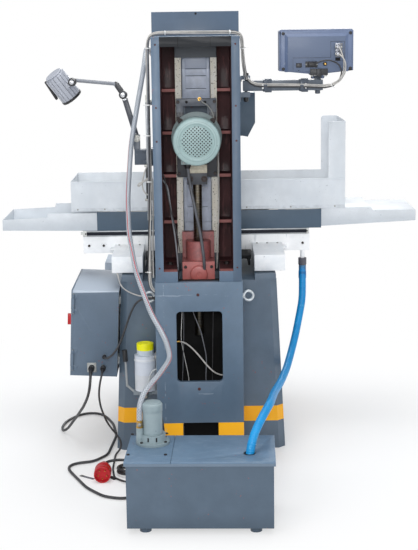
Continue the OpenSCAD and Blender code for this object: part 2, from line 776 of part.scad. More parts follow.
module table_wings() {
    y0 = -291;
    y1 = table_rear;
    l = table_l;
    r = table_r;
    z = table_z;
    color("whitesmoke") {
        difference() {
            along_y(y0, y1) polygon([[l, z], [l + pan_l, z + 6], [l + pan_l, z + 50],
                [l + 204, z + 58], [l + 200, z + 74], [l, z + 74]]);
            along_y(y0 + 3, y1 - 3) polygon([[l + 3, z + 4], [l + pan_l - 3, z + 10],
                [l + pan_l - 3, z + 84], [l + 3, z + 84]]);
        }
        difference() {
            along_y(y0, y1) polygon([[r, z + 7], [r - pan_r, z + 25], [r - pan_r, z + 69],
                [r - 212, z + 69], [r - 204, z + 82], [r, z + 82]]);
            along_y(y0 + 3, y1 - 3) polygon([[r - 3, z + 4], [r - pan_r + 3, z + 22],
                [r - pan_r + 3, z + 66], [r - 211, z + 66], [r - 203, z + 79], [r - 3, z + 79]]);
        }
    }
}

module splash_guard() {
    z0 = lip_z + 4;
    y0 = table_front - 27;
    y1 = table_rear + 10;
    x0 = table_r - 96.5;
    x1 = table_l + 102.5;
    top = lip_z + guard_h;
    color("whitesmoke") {
        for (y = [y0, y1 - sheet_t]) {
            block([x0 + sheet_t, x1 - sheet_t], [y, y + sheet_t], [z0, top]);
            along_y(y, y + sheet_t) polygon([[x0 + sheet_t, top], [x0 + 69, top],
                [x0 + 69, lip_z + tall_h - 8], [x0 + 61, lip_z + tall_h], [x0 + sheet_t, lip_z + tall_h]]);
        }
        block([x1 - sheet_t, x1], [y0, y1], [z0, top]);
        block([x0, x0 + sheet_t], [y0, y1], [z0, lip_z + tall_h]);
        difference() {
            block([x0 + sheet_t, x1 - sheet_t], [y0 + sheet_t, y1 - sheet_t], [z0, z0 + sheet_t]);
            block([table_r + 6, table_l - 4], [table_front + 6, table_rear - 6],
                [z0 - 1, z0 + 4]);
        }
        both_sides() for (y = [table_front + 1, table_rear - 9])
            block([330, 360], [y, y + 8], [lip_z, z0]);
    }
}

module magnetic_chuck() {
    color("darkgray") difference() {
        union() {
            block([chuck_x - chuck_l / 2, chuck_x + chuck_l / 2], [chuck_y0, chuck_y1],
                [face_z, chuck_z - 3]);
            for (i = [0:24]) block([chuck_x - chuck_l / 2 + i * chuck_l / 25,
                chuck_x - chuck_l / 2 + (i + 0.8) * chuck_l / 25], [chuck_y0, chuck_y1],
                [chuck_z - 3, chuck_z]);
        }
        rod_y(chuck_x, face_z + 34, chuck_y0 - 1, chuck_y0 + 24, 11 + run_gap);
    }
}

module chuck_cam() {
    color("dimgray") difference() {
        union() {
            rod_y(chuck_x, face_z + 34, chuck_y0 - 4, chuck_y0 + 22, 11);
            rod_y(chuck_x, face_z + 34, chuck_y0 - 9, chuck_y0 - slide_gap, 16);
        }
        rod_y(chuck_x, face_z + 34, chuck_y0 - 10, chuck_y0 + 6, 6);
    }
}

module cross_handwheel() {
    y0 = base_front - 50;
    color("dimgray") {
        rod_y(cross_x, cross_z, y0 - 6, -42, feed_r);
        handwheel(cross_x, cross_z, y0, y0 + 24, feed_wheel_r, feed_r - 0.01);
    }
}

module cabinet_body() {
    color("seashell") on_side() {
        difference() {
            block([6, 6 + cab_d], [cab_front, cab_rear], [cab_low, cab_high]);
            block([9, 7 + cab_d], [cab_front + 3, cab_rear - 3], [cab_low + 3, cab_high - 3]);
        }
        for (y = [cab_front + 60, cab_rear - 90], z = [cab_low + 40, cab_high - 60])
            block([0.02, 6], [y, y + 40], [z, z + 30]);
        for (z = [[336, 352], [402, 416], [566, 582], [626, 642]])
        {
            rod_z(3 + cab_d, cab_rear + 5, z[0], z[1], 5);
            block([cab_d - 14, 3 + cab_d], [cab_rear, cab_rear + 3], z);
        }
    }
}

module cabinet_door() {
    color("seashell") on_side() {
        block([6 + cab_d + slide_gap, 6 + cab_d + door_t], [cab_front, cab_rear],
            [cab_low, cab_high]);
        for (z = [[352.3, 401.7], [582.3, 625.7]]) {
            rod_z(3 + cab_d, cab_rear + 5, z[0], z[1], 4.8);
            block([3 + cab_d, 6 + cab_d + door_t], [cab_rear + 2, cab_rear + 8], z);
            block([6 + cab_d + 1, 6 + cab_d + door_t], [cab_rear, cab_rear + 3], z);
        }
        translate([6 + cab_d + door_t, 120, 500]) rotate([0, 90, 0]) cylinder(r = 30, h = 5);
    }
}

module main_switch() {
    color("red") on_side() translate([11 + cab_d + door_t + slide_gap, 120, 500]) {
        rotate([0, 90, 0]) cylinder(r = 22, h = 8);
        translate([8, -7, -22]) cube([16, 14, 44]);
    }
}

module cabinet_fittings() {
    color("darkgray") {
        block([412, 448], [cab_rear, cab_rear + 4], [333, 371]);
        rod_y(430, 352, cab_rear + 4, 322, 12);
        rod_y(384, 351, cab_rear, 322, 11);
        rod_y(378, 397, cab_rear, 316, 8);
    }
    color("lightgray") on_side() {
        block([9, 12], [cab_front + 30, cab_rear - 30], [cab_low + 30, cab_high - 30]);
        for (y = [cab_front + 60, 0, 90, 180]) block([12, 92], [y, y + 48], [520, 600]);
        for (y = [cab_front + 60, 40, 160]) block([12, 72], [y, y + 70], [400, 470]);
    }
}

module control_box() {
    color("lightslategray") on_side() difference() {
        block([0.02, 104], [base_front - 50, base_front + 165],
            [deck_z - 212, deck_z - 40]);
        block([4, 100], [base_front - 46, base_front + 161],
            [deck_z - 208, deck_z - 44]);
        rod_y(36, deck_z - 82, base_front - 51, base_front - 40, 8);
        rod_y(74, deck_z - 82, base_front - 51, base_front - 40, 8);
    }
}

module push_button(x, cap_r) {
    on_side() {
        rod_y(x, deck_z - 82, base_front - 56, base_front - 38, 7.9);
        rod_y(x, deck_z - 82, base_front - 66, base_front - 55, cap_r);
    }
}

module start_button() {
    color("green") push_button(36, 12);
}

module stop_button() {
    color("red") push_button(74, 17);
}

module oil_reservoir() {
    x1 = ped_half;
    color("whitesmoke") difference() {
        rod_z(oil_x, oil_y, 270, 411, 42.5);
        rod_z(oil_x, oil_y, 276, 405, 39.5);
        rod_z(oil_x, oil_y, 404, 412, 25);
    }
    color("dimgray") {
        difference() {
            rod_z(oil_x, oil_y, 250, 270, 30);
            rod_y(oil_pin[0], oil_pin[1], oil_y - 8.3, oil_y + 8.3, 18);
        }
        for (y = [oil_y - 12, oil_y + 8.3]) block([236, oil_pin[0] + 6], [y, y + 3.7],
            [250, 268]);
        rod_z(oil_x, oil_y, 276, 400, 9);
        block([x1, x1 + 6], [oil_y - 40, oil_y + 40], [262, 420]);
        block([x1 + 6, oil_x - 20], [oil_y - 20, oil_y + 20], [254, 269.5]);
    }
}

module oil_cap() {
    color("darkred") difference() {
        rod_z(oil_x, oil_y, 411 + slide_gap, 458, 33);
        for (a = [0:20:340]) translate([oil_x, oil_y, 0]) rotate([0, 0, a])
            block([32, 35], [-1.5, 1.5], [415, 454]);
    }
}

module oil_lever() {
    color("dimgray") {
        rod_y(oil_pin[0], oil_pin[1], oil_y - 8, oil_y + 8, 6);
        rod_between([oil_pin[0], oil_y, oil_pin[1]], [289, oil_y, 286], 4.5);
        rod_between([289, oil_y, 283], [293, oil_y, 385], 4.5);
    }
    color("black") rod_between([293, oil_y, 385], [296, oil_y, 431], 10);
}

module tank_frame() {
    translate([0, tank_y, 0]) rotate([0, 0, tank_yaw]) children();
}

module tank_body() {
    hx = tank_l / 2;
    hy = tank_w / 2;
    color("gainsboro") tank_frame() {
        difference() {
            union() {
                block([-hx, hx], [-hy, hy], [tank_foot, tank_rim]);
                block([-hx - 6, hx + 6], [-hy - 6, hy + 6], [tank_rim - 10, tank_rim]);
            }
            block([3 - hx, hx - 3], [3 - hy, hy - 3], [tank_foot + 3, tank_rim + 1]);
        }
        for (x = [-hx + 60, hx - 60], y = [-hy + 40, hy - 40])
            rod_z(x, y, 0, tank_foot, 20);
    }
}

module tank_lids() {
    hx = tank_l / 2 + 6;
    hy = tank_w / 2 + 6;
    seam = 96;
    color("gainsboro") difference() {
        tank_frame() {
            block([-hx, seam - 0.5], [-hy, hy], [tank_rim, tank_rim + 6]);
            block([seam + 0.5, hx], [-hy, hy], [tank_rim, tank_rim + 6]);
        }
        rod_z(pump_at[0], pump_at[1], 200, 300, 46);
        rod_z(hose_hole[0], hose_hole[1], 200, 300, 19);
    }
}

module coolant_pump() {
    z = tank_rim + 6;
    color("darkgray") {
        rod_z(pump_at[0], pump_at[1], z, z + 10, 58.5);
        rod_z(pump_at[0], pump_at[1], z + 10, z + 35, 45);
        rod_z(pump_at[0], pump_at[1], z + 35, z + 140, 34.5);
        rod_z(pump_at[0], pump_at[1], z + 140, z + 148, 30);
        rod_z(pump_at[0], pump_at[1], 60, z, 40);
        block([pump_at[0] - 17, pump_at[0] + 17], [pump_at[1] - 61, pump_at[1] - 28], [330, 372]);
        rod_z(outlet[0], outlet[1], z + 10, 319, 12);
    }
}

module eyebolts() {
    color("dimgray") both_sides() {
        translate([190, 400, 655]) rotate([90, 0, 0]) rotate_extrude()
            translate([18, 0]) circle(r = 5.5);
        rod_x(400, 655, ped_half, 176, 7);
    }
}

module arm_brackets() {
    color("dimgray") {
        block([col_half, 184], [170, 235], [1143, 1209]);
        block([184, 244], [178, 222], [1146, 1206]);
        block([222, 246], [184, 192.7], [1206, 1262]);
        block([222, 246], [207.3, 216], [1206, 1262]);
    }
    color("silver") difference() {
        union() {
            block([-174, -col_half], [162, 238], [1385, 1484]);
            block([dro_swivel[0] - 16, -174], [dro_y - 11, dro_y + 25], [1468.3, 1484]);
            block([dro_swivel[0] - 16, -174], [dro_y - 11, dro_y + 25], [1400, 1419.7]);
        }
        rod_z(dro_swivel[0], dro_swivel[1], 1380, 1490, 6 + run_gap);
    }
}

module z_scale() {
    color("darkgray") {
        block([180, 196], [240, 262], [932, 1418]);
        for (z = [950, 1380]) block([col_half, 180], [242, 260], [z, z + 20]);
    }
}

module lamp_lower_arm() {
    color("lightgray") {
        rod_between(lamp_pivot + [2, 0, 8], lamp_elbow - [2, 0, 8], 6.5);
        rod_y(lamp_pivot[0], lamp_pivot[2], lamp_y - 7, lamp_y + 7, 12);
        rod_y(lamp_elbow[0], lamp_elbow[2], lamp_y - 8, lamp_y + 8, 13);
    }
}

module lamp_upper_arm() {
    e = lamp_elbow;
    color("lightgray") {
        for (y = [[lamp_y - 14, lamp_y - 8.3], [lamp_y + 8.3, lamp_y + 14]]) {
            rod_y(e[0], e[2], y[0], y[1], 13);
            translate([e[0], 0, e[2]]) rotate([0, atan2(28, 41), 0])
                block([-10, 10], y, [0, 49]);
        }
        rod_y(310, 1460, lamp_y - 14, lamp_y + 14, 9);
        difference() {
            union() {
                rod_between([312, lamp_y, 1460], [470, lamp_y, 1476], 7);
                rod_y(lamp_knob[0], lamp_knob[2], lamp_y - 8, lamp_y + 8, 16);
            }
            rod_y(lamp_knob[0], lamp_knob[2], lamp_y - 9, lamp_y + 9, 6 + run_gap);
        }
    }
    color("black") rod_y(e[0], e[2], lamp_y + 14, lamp_y + 36, 16);
}

module lamp_head() {
    d = lamp_dir;
    color("white") {
        translate(lamp_mid) aim(d) translate([0, 0, -lamp_l / 2]) difference() {
            union() {
                cylinder(r = lamp_r, h = lamp_l);
                translate([0, 0, -6]) cylinder(r1 = lamp_r - 10, r2 = lamp_r - 2, h = 6.1);
            }
            translate([0, 0, 30]) cylinder(r = lamp_r - 3, h = lamp_l);
        }
        translate(lamp_mid) aim(d) translate([0, 0, lamp_l / 2 - 7])
            cylinder(r = lamp_r - 3, h = 4);
        difference() {
            hull() {
                rod_y(lamp_knob[0], lamp_knob[2], lamp_y - 16, lamp_y - 8.3, 13);
                rod_y(lamp_mid[0], lamp_mid[2], lamp_y - 22, lamp_y - 14, 12);
            }
            translate(lamp_mid) aim(d) translate([0, 0, -lamp_l / 2 - 9])
                cylinder(r = lamp_r - 1, h = lamp_l + 18);
        }
        rod_y(lamp_knob[0], lamp_knob[2], lamp_y - 9, lamp_y + 12, 6);
    }
    color("black") rod_y(lamp_knob[0], lamp_knob[2], lamp_y + 11, lamp_y + 32, 14);
}

module dro_arm() {
    y0 = dro_y - 15;
    y1 = dro_y + 25;
    color("silver") {
        difference() {
            block([-496, dro_swivel[0] + 12], [y0, y1], [1424, 1464]);
            block([-492, dro_swivel[0] - 20], [y0 + 4, y1 - 4], [1428, 1460]);
        }
        rod_z(dro_swivel[0], dro_swivel[1], 1392, 1490, 6);
        block([-490, -464], [dro_y - 6, dro_y + 6], [1464, 1469]);
        rod_x(dro_y, dro_tilt[2], -503, -451, 5);
        rod_x(dro_y, dro_tilt[2], -490, -464, 6);
    }
}

module dro_display() {
    hx = dro_w / 2;
    z0 = 1492;
    color("darkseagreen") {
        difference() {
            along_y(dro_y - 45, dro_y + 40) polygon([[dro_x - hx, z0 + 8], [dro_x, 1485],
                [dro_x + hx, z0 + 8], [dro_x + hx, z0 + dro_h - 6],
                [dro_x + hx - 6, z0 + dro_h], [dro_x - hx + 6, z0 + dro_h],
                [dro_x - hx, z0 + dro_h - 6]]);
            block([dro_x - hx + 14, dro_x + hx - 14], [dro_y - 46, dro_y - 42],
                [z0 + 18, z0 + dro_h - 14]);
        }
        block([dro_x - 112, dro_x + 112], [dro_y + 40, dro_y + 50], [1497, 1631]);
        difference() {
            for (x = [-500, -462]) block([x, x + 8], [dro_y - 8, dro_y + 8], [1468, 1489]);
            rod_x(dro_y, dro_tilt[2], -501, -453, 5 + run_gap);
        }
    }
    color("silver") for (z = [1557, 1578, 1600]) block([-568, -540], [dro_y + 50, dro_y + 62],
        [z - 5, z + 5]);
}

module cable_loom() {
    color("dimgray") sweep(loom_route, 8);
}

module coolant_hose() {
    color("gainsboro") sweep(coolant_route, 9.5);
}

module motor_cable() {
    color("black") sweep(motor_route, 6);
}

module drain_hose() {
    color("royalblue") sweep(drain_route, 15, 10);
}

module mains_cable() {
    color("black") sweep(mains_route, mains_r);
}

module pump_cable() {
    color("black") sweep(pump_route, 4);
}

// Point of the coiled cable after a degrees, each turn lying on the one before
function coil_point(a) = [coil_at[0] - coil_r * cos(a), coil_at[1] - coil_r * sin(a),
    7 + a / 360 * (2 * mains_r + 1)];

module mains_coil() {
    turns = [for (k = [0:coil_turns * 24]) coil_point(15 * k)];
    tail = [[299, 501, 34], [324, 493, 33], [349, 497, 32], [366, 509, 32],
        [plug_at[0], plug_at[1] - 140, 32], [plug_at[0], plug_at[1] - 126, 32]];
    color("black") sweep(concat(turns, tail), mains_r, 6);
}

module mains_plug() {
    color("red") translate([plug_at[0], plug_at[1], 32]) rotate([90, 0, 0]) {
        difference() {
            cylinder(r = 32, h = 60);
            translate([0, 0, -1]) cylinder(r = 27, h = 40);
        }
        for (a = [18:72:306]) rotate([0, 0, a]) translate([17, 0, 4]) cylinder(r = 2.5, h = 36);
        translate([0, 0, 60]) cylinder(r1 = 30, r2 = 20, h = 40);
        translate([0, 0, 100]) cylinder(r = 14, h = 26);
    }
}

base();
pedestal();
column();
gearbox_housing();
cabinet_body();
cabinet_fittings();
control_box();
oil_reservoir();
tank_body();
tank_lids();
coolant_pump();
eyebolts();
arm_brackets();
z_scale();
coolant_hose();
motor_cable();
mains_cable();
mains_coil();
mains_plug();
pump_cable();
cable_loom();
cross_bellows();
cabinet_door();
main_switch();
start_button();
stop_button();
oil_cap();
oil_lever();
lamp_lower_arm();
lamp_upper_arm();
lamp_head();
dro_arm();
dro_display();
cross_handwheel();
elevating_handwheel();
elevating_nut();
wheelhead();
slide_plate();
motor_body();
fan_cover();
spindle_bearings();
wheel_guard();
coolant_nozzle();
slot_plates();
elevating_screw();
spindle();
grinding_wheel();
wheel_flange();
guard_door();
valve_lever();
saddle();
way_covers();
x_scale();
drain_hose();
table_handwheel();
table();
table_wings();
splash_guard();
magnetic_chuck();
chuck_cam();
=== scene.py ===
"""Manual surface grinder, seen from behind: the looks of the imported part.

Metres, +Z up. The operator stands at -Y and the open back of the column looks to +Y.
"""
import json
import math

import bmesh
import bpy
from mathutils import Matrix, Vector


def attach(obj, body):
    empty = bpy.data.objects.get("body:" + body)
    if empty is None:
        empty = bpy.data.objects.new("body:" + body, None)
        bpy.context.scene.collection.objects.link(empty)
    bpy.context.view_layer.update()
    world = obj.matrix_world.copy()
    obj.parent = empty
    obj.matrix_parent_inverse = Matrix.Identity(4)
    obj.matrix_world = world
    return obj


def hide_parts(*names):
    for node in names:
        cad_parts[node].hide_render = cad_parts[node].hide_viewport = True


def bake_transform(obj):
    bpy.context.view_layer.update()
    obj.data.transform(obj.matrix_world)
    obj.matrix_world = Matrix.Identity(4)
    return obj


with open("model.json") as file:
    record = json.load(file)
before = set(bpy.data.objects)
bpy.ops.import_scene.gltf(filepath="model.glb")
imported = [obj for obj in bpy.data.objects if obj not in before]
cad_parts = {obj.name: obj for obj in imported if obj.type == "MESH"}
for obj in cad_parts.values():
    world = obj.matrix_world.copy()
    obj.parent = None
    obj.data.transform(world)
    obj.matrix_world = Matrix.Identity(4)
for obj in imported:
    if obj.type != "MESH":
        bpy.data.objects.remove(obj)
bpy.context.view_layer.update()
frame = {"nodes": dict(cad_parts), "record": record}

scene = bpy.context.scene
# Directions: towards the open back, towards the operator, up and down.
BACK, FRONT, UP, DOWN = (0, 1, 0), (0, -1, 0), (0, 0, 1), (0, 0, -1)


# Camera and studio. The picture is taken from behind at eye height, 5.3 m from the
# column's middle, with a lens that gives little perspective, in front of a white paper roll.
camera_at = Vector((-0.008, 5.30, 1.690))
turned_left, tipped_down, rolled = math.radians(-0.3694), math.radians(11.0), 0.0137
ahead = Vector((math.sin(turned_left) * math.cos(tipped_down),
                -math.cos(turned_left) * math.cos(tipped_down), -math.sin(tipped_down)))
level_right = ahead.cross(Vector(UP)).normalized()
level_up = level_right.cross(ahead)
right = math.cos(rolled) * level_right - math.sin(rolled) * level_up
up = math.sin(rolled) * level_right + math.cos(rolled) * level_up
lens = bpy.data.cameras.new("camera")
lens.lens = 85.09
lens.clip_start, lens.clip_end = 0.1, 60
camera = bpy.data.objects.new("camera", lens)
scene.collection.objects.link(camera)
camera.matrix_world = Matrix.Translation(camera_at) @ Matrix((right, up, -ahead)).transposed().to_4x4()
scene.camera = camera
scene.view_settings.view_transform = "Standard"


def maths(operation, swapped=False):
    """An operator that adds a Math node of that kind to the material."""
    def apply(self, other=0.0):
        first, second = (other, self) if swapped else (self, other)
        return self.finish.maths(operation, first, second)
    return apply


class Value:
    """A socket in a material, so that an expression such as 1 - dust * 0.3 adds its Math nodes."""

    def __init__(self, finish, socket):
        self.finish, self.socket = finish, socket

    __add__ = __radd__ = maths("ADD")
    __mul__ = __rmul__ = maths("MULTIPLY")
    __sub__, __rsub__ = maths("SUBTRACT"), maths("SUBTRACT", swapped=True)
    __truediv__, __mod__ = maths("DIVIDE"), maths("FLOORED_MODULO")
    __gt__, __lt__, __abs__ = maths("GREATER_THAN"), maths("LESS_THAN"), maths("ABSOLUTE")

    def between(self, low, high):
        """A mask that is 1 between two limits."""
        return (self > low) * (self < high)

    def near(self, middle, reach):
        """A mask that is 1 within reach of the middle."""
        return abs(self - middle) < reach


class Finish:
    """One finish: a Principled shader with the nodes that feed it, all in the object's own metres."""

    def __init__(self, name, colour, roughness=0.5, metallic=0.0, coat=0.0):
        self.material = bpy.data.materials.new(name)
        self.material.use_nodes = True
        self.tree = self.material.node_tree
        self.shader = self.tree.nodes["Principled BSDF"]
        self.shader.inputs["Metallic"].default_value = metallic
        self.shader.inputs["Coat Weight"].default_value = coat
        self.shader.inputs["Coat Roughness"].default_value = 0.12
        place = self.tree.nodes.new("ShaderNodeTexCoord")
        self.place = Value(self, place.outputs["Object"])
        self.x, self.y, self.z = self.split(self.place)
        self.colour, self.roughness = colour, roughness
        self.feed("Base Color", colour)
        self.feed("Roughness", roughness)

    def feed(self, socket, value, node=None):
        """Links or sets one input of the shader, or of another node."""
        target = (node or self.shader).inputs[socket]
        if isinstance(value, Value):
            self.tree.links.new(value.socket, target)
        elif isinstance(value, tuple) and target.type == "RGBA":
            target.default_value = (*value[:3], 1.0)
        else:
            target.default_value = value

    def node(self, kind, settings, inputs, output=0):
        """Any node: its settings first, then the values or links of its sockets."""
        made = self.tree.nodes.new(kind)
        for key, value in settings.items():
            if key == "stops":
                ramp = made.color_ramp
                while len(ramp.elements) < len(value):
                    ramp.elements.new(0.5)
                for element, (at, shade) in zip(ramp.elements, value):
                    element.position = at
                    element.color = (shade, shade, shade, 1) if isinstance(shade, float) else (*shade, 1)
            else:
                setattr(made, key, value)
        for key, value in inputs.items():
            self.feed(key, value, made)
        return Value(self, made.outputs[output])

    def maths(self, operation, *values):
        return self.node("ShaderNodeMath", {"operation": operation}, dict(enumerate(values)))

    def vector(self, operation, *values, output=0):
        return self.node("ShaderNodeVectorMath", {"operation": operation}, dict(enumerate(values)), output)

    def fade(self, value, start, end, low, high):
        """Goes smoothly from low to high while the value goes from start to end."""
        return self.node("ShaderNodeMapRange", {"interpolation_type": "SMOOTHSTEP"},
                         {0: value, 1: start, 2: end, 3: low, 4: high})

    def noise(self, size, detail=3.0, place=None, low=0.0, high=1.0):
        """Cloudy variation with patches of about that size in metres, stretched between low and high."""
        raw = self.node("ShaderNodeTexNoise", {}, {"Vector": place or self.place,
                        "Scale": 1 / size, "Detail": detail, "Roughness": 0.6})
        return self.fade(raw, 0.3, 0.7, low, high)

    def stretched(self, x, y, z):
        """The place with each axis scaled, for grain that runs one way."""
        return self.vector("MULTIPLY", self.place, (x, y, z))

    def split(self, vector):
        """The three parts of a vector."""
        parts = self.tree.nodes.new("ShaderNodeSeparateXYZ")
        self.tree.links.new(vector.socket, parts.inputs[0])
        return [Value(self, out) for out in parts.outputs]

    def ring(self):
        """The ring attribute of a tube: where a point is round it, as two numbers, and along it."""
        return self.split(self.node("ShaderNodeAttribute", {"attribute_name": "ring"}, {}, output=1))

    def cover(self, mask, colour, roughness=None):
        """Lays another colour over the finish where the mask is 1."""
        self.colour = self.node("ShaderNodeMix", {"data_type": "RGBA", "clamp_factor": True},
                                {0: mask, 6: self.colour, 7: colour}, output=2)
        self.feed("Base Color", self.colour)
        if roughness is not None:
            self.roughness = self.node("ShaderNodeMix", {"clamp_factor": True},
                                       {0: mask, 2: self.roughness, 3: roughness})
            self.feed("Roughness", self.roughness)
        return self

    def skin(self, height, depth):
        """Bumps of that depth in metres where height is 1."""
        self.feed("Normal", self.node("ShaderNodeBump", {}, {"Height": height, "Distance": depth,
                                                             "Strength": 1.0}))
        return self

    def edges(self, reach, low=0.04, high=0.2):
        """A mask that is 1 on edges within that reach, where paint is thin and rubbed and where the enamel
        paints its edge highlight.
        """
        round_normal = self.node("ShaderNodeBevel", {"samples": 4}, {"Radius": reach})
        true_normal = self.node("ShaderNodeNewGeometry", {}, {}, output=1)
        same = self.vector("DOT_PRODUCT", round_normal, true_normal, output=1)
        return self.node("ShaderNodeMapRange", {}, {0: 1 - same, 1: low, 2: high, 3: 0.0, 4: 1.0})


def card(red, green, blue):
    """A colour off a paint card, 0 to 255 each, through the sRGB curve to a shader's linear numbers."""
    return tuple(v / 12.92 if v <= 0.04045 else ((v + 0.055) / 1.055) ** 2.4
                 for v in (red / 255, green / 255, blue / 255))


def link(name, mesh, finish):
    """A new object from mesh data or a bmesh, with its finish."""
    if isinstance(mesh, bmesh.types.BMesh):
        data = bpy.data.meshes.new(name)
        mesh.to_mesh(data)
        mesh.free()
    else:
        data = mesh
    made = bpy.data.objects.new(name, data)
    scene.collection.objects.link(made)
    data.materials.clear()
    data.materials.append(finish.material)
    return made


paper = Finish("studio_paper", card(244, 244, 244), 0.9)
faded = paper.fade(paper.vector("LENGTH", paper.place, output=1), 0.5, 1.9, 0.25, 1.0)
white = paper.tree.nodes.new("ShaderNodeEmission")
white.inputs["Color"].default_value = (1, 1, 1, 1)
rays = paper.tree.nodes.new("ShaderNodeLightPath")
seen = Value(paper, rays.outputs["Is Camera Ray"]) + Value(paper, rays.outputs["Is Glossy Ray"])
seen = seen + Value(paper, rays.outputs["Is Transmission Ray"])
both = paper.tree.nodes.new("ShaderNodeMixShader")
paper.feed(0, (seen > 0.5) * faded, both)
paper.tree.links.new(paper.shader.outputs[0], both.inputs[1])
paper.tree.links.new(white.outputs[0], both.inputs[2])
paper.tree.links.new(both.outputs[0], paper.tree.nodes["Material Output"].inputs["Surface"])
roll = bmesh.new()
bmesh.ops.create_grid(roll, x_segments=8, y_segments=8, size=14)
floor = link("floor", roll, paper)

world = bpy.data.worlds.new("studio")
scene.world = world
world.use_nodes = True
sky = world.node_tree
plain, bright, choose = (sky.nodes["Background"], sky.nodes.new("ShaderNodeBackground"),
                         sky.nodes.new("ShaderNodeMixShader"))
plain.inputs["Color"].default_value = (0.93, 0.96, 1.0, 1)
plain.inputs["Strength"].default_value = 0.5
bright.inputs["Color"].default_value = (1, 1, 1, 1)
bright.inputs["Strength"].default_value = 1.0
path = sky.nodes.new("ShaderNodeLightPath")
sky.links.new(path.outputs["Is Camera Ray"], choose.inputs[0])
sky.links.new(plain.outputs[0], choose.inputs[1])
sky.links.new(bright.outputs[0], choose.inputs[2])
sky.links.new(choose.outputs[0], sky.nodes["World Output"].inputs["Surface"])

for lamp_name, at, aim_at, size, watts in (
        ("softbox_left", (2.6, 4.2, 2.9), (0, 0.2, 0.9), 2.2, 34),
        ("softbox_right", (-2.9, 4.0, 2.4), (0, 0.2, 0.9), 2.2, 24),
        ("softbox_near", (0.1, 5.7, 2.2), (0, 0.3, 1.1), 1.4, 95),
        ("softbox_front", (-0.6, -4.2, 3.2), (0, -0.2, 0.9), 2.6, 100),
        ("softbox_over", (0.2, 0.6, 4.4), (0, 0.3, 0.8), 2.6, 80)):
    softbox = bpy.data.lights.new(lamp_name, "AREA")
    softbox.size, softbox.energy = size, watts
    lamp = bpy.data.objects.new(lamp_name, softbox)
    lamp.location = at
    lamp.rotation_euler = (Vector(aim_at) - Vector(at)).to_track_quat("-Z", "Y").to_euler()
    scene.collection.objects.link(lamp)


# Mains cable: five cores in black rubber, 11 mm thick, from the gland under the cabinet to a red
# plug for three phases. It lies on the floor in loose bends, with its last metre and a half wound up.
def metres(points):
    """Points in millimetres as vectors in metres."""
    return [Vector(p) / 1000 for p in points]


def eased(points, step=0.006, rounds=20):
    """A run of points in millimetres, evenly spaced and with its corners eased, in metres."""
    points = metres(points)
    even = [points[0]]
    for start, end in zip(points, points[1:]):
        count = max(1, round((end - start).length / step))
        even += [start.lerp(end, k / count) for k in range(1, count + 1)]
    for _ in range(rounds):
        even = [even[0]] + [(a + 2 * b + c) / 4 for a, b, c in zip(even, even[1:], even[2:])] + [even[-1]]
    return even


def run_length(points):
    return sum((b - a).length for a, b in zip(points, points[1:]))


def tube(name, points, radius, finish, sides=12, swell=None):
    """A hose or cable along points. Its ring attribute holds the place round and along it."""
    mesh = bmesh.new()
    ring = mesh.verts.layers.float_vector.new("ring")
    side, along, rings = Vector((0.9, 0.3, 0.2)), 0.0, []
    for i, point in enumerate(points):
        heading = (points[min(i + 1, len(points) - 1)] - points[max(i - 1, 0)]).normalized()
        side = (side - side.dot(heading) * heading).normalized()
        across = heading.cross(side)
        if i:
            along += (point - points[i - 1]).length
        thick = radius * (swell(along) if swell else 1)
        circle = []
        for k in range(sides):
            turn = 2 * math.pi * k / sides
            out = math.cos(turn) * side + math.sin(turn) * across
            vert = mesh.verts.new(point + thick * out)
            vert[ring] = (math.cos(turn), math.sin(turn), along)
            circle.append(vert)
        rings.append(circle)
    for one, two in zip(rings, rings[1:]):
        for k in range(sides):
            mesh.faces.new((one[k], one[(k + 1) % sides], two[(k + 1) % sides], two[k])).smooth = True
    mesh.faces.new(reversed(rings[0]))
    mesh.faces.new(rings[-1])
    return link(name, mesh, finish)


def lathe(name, profile, at, towards, finish, sides=32, closed=True):
    """A turned piece: profile is (radius, distance along the axis) in millimetres, from at along towards."""
    mesh = bmesh.new()
    turned = Vector(towards).to_track_quat("Z", "Y").to_matrix().to_4x4()
    placed = Matrix.Translation(Vector(at) / 1000) @ turned
    rings = []
    for radius, along in profile:
        turns = [2 * math.pi * k / sides for k in range(sides)] if radius > 0 else [0]
        points = metres([(radius * math.cos(turn), radius * math.sin(turn), along) for turn in turns])
        rings.append([mesh.verts.new(placed @ point) for point in points])
    for one, two in zip(rings, rings[1:]):
        for k in range(sides):
            corners = [one[k % len(one)], one[(k + 1) % len(one)], two[(k + 1) % len(two)], two[k % len(two)]]
            corners = list(dict.fromkeys(corners))
            if len(corners) > 2:
                mesh.faces.new(corners).smooth = True
    for end, turn in ((rings[0], True), (rings[-1], False)):
        if closed and len(end) > 1:
            mesh.faces.new(list(reversed(end)) if turn else end)
    return creased(link(name, mesh, finish))


def creased(piece, angle=32):
    """Sharp edges where the faces turn by more than the angle, smooth ones elsewhere."""
    mesh = bmesh.new()
    mesh.from_mesh(piece.data)
    bmesh.ops.recalc_face_normals(mesh, faces=mesh.faces)
    for face in mesh.faces:
        face.smooth = True
    for edge in mesh.edges:
        edge.smooth = len(edge.link_faces) == 2 and edge.calc_face_angle(0) < math.radians(angle)
    mesh.to_mesh(piece.data)
    mesh.free()
    return piece


def settle(piece, body, slot, *nodes):
    """Rides a piece on its body, if it has only one, with the nodes that it stands for; its slot is not used.
    """
    if body:
        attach(piece, body)
    if nodes:
        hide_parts(*nodes)
    return piece


def joined(name, *pieces):
    """Several meshes made one piece, each keeping its own finish."""
    for other in bpy.context.selected_objects:
        other.select_set(False)
    for piece in pieces:
        piece.select_set(True)
    bpy.context.view_layer.objects.active = pieces[0]
    bpy.ops.object.join()
    pieces[0].name = pieces[0].data.name = name
    return pieces[0]


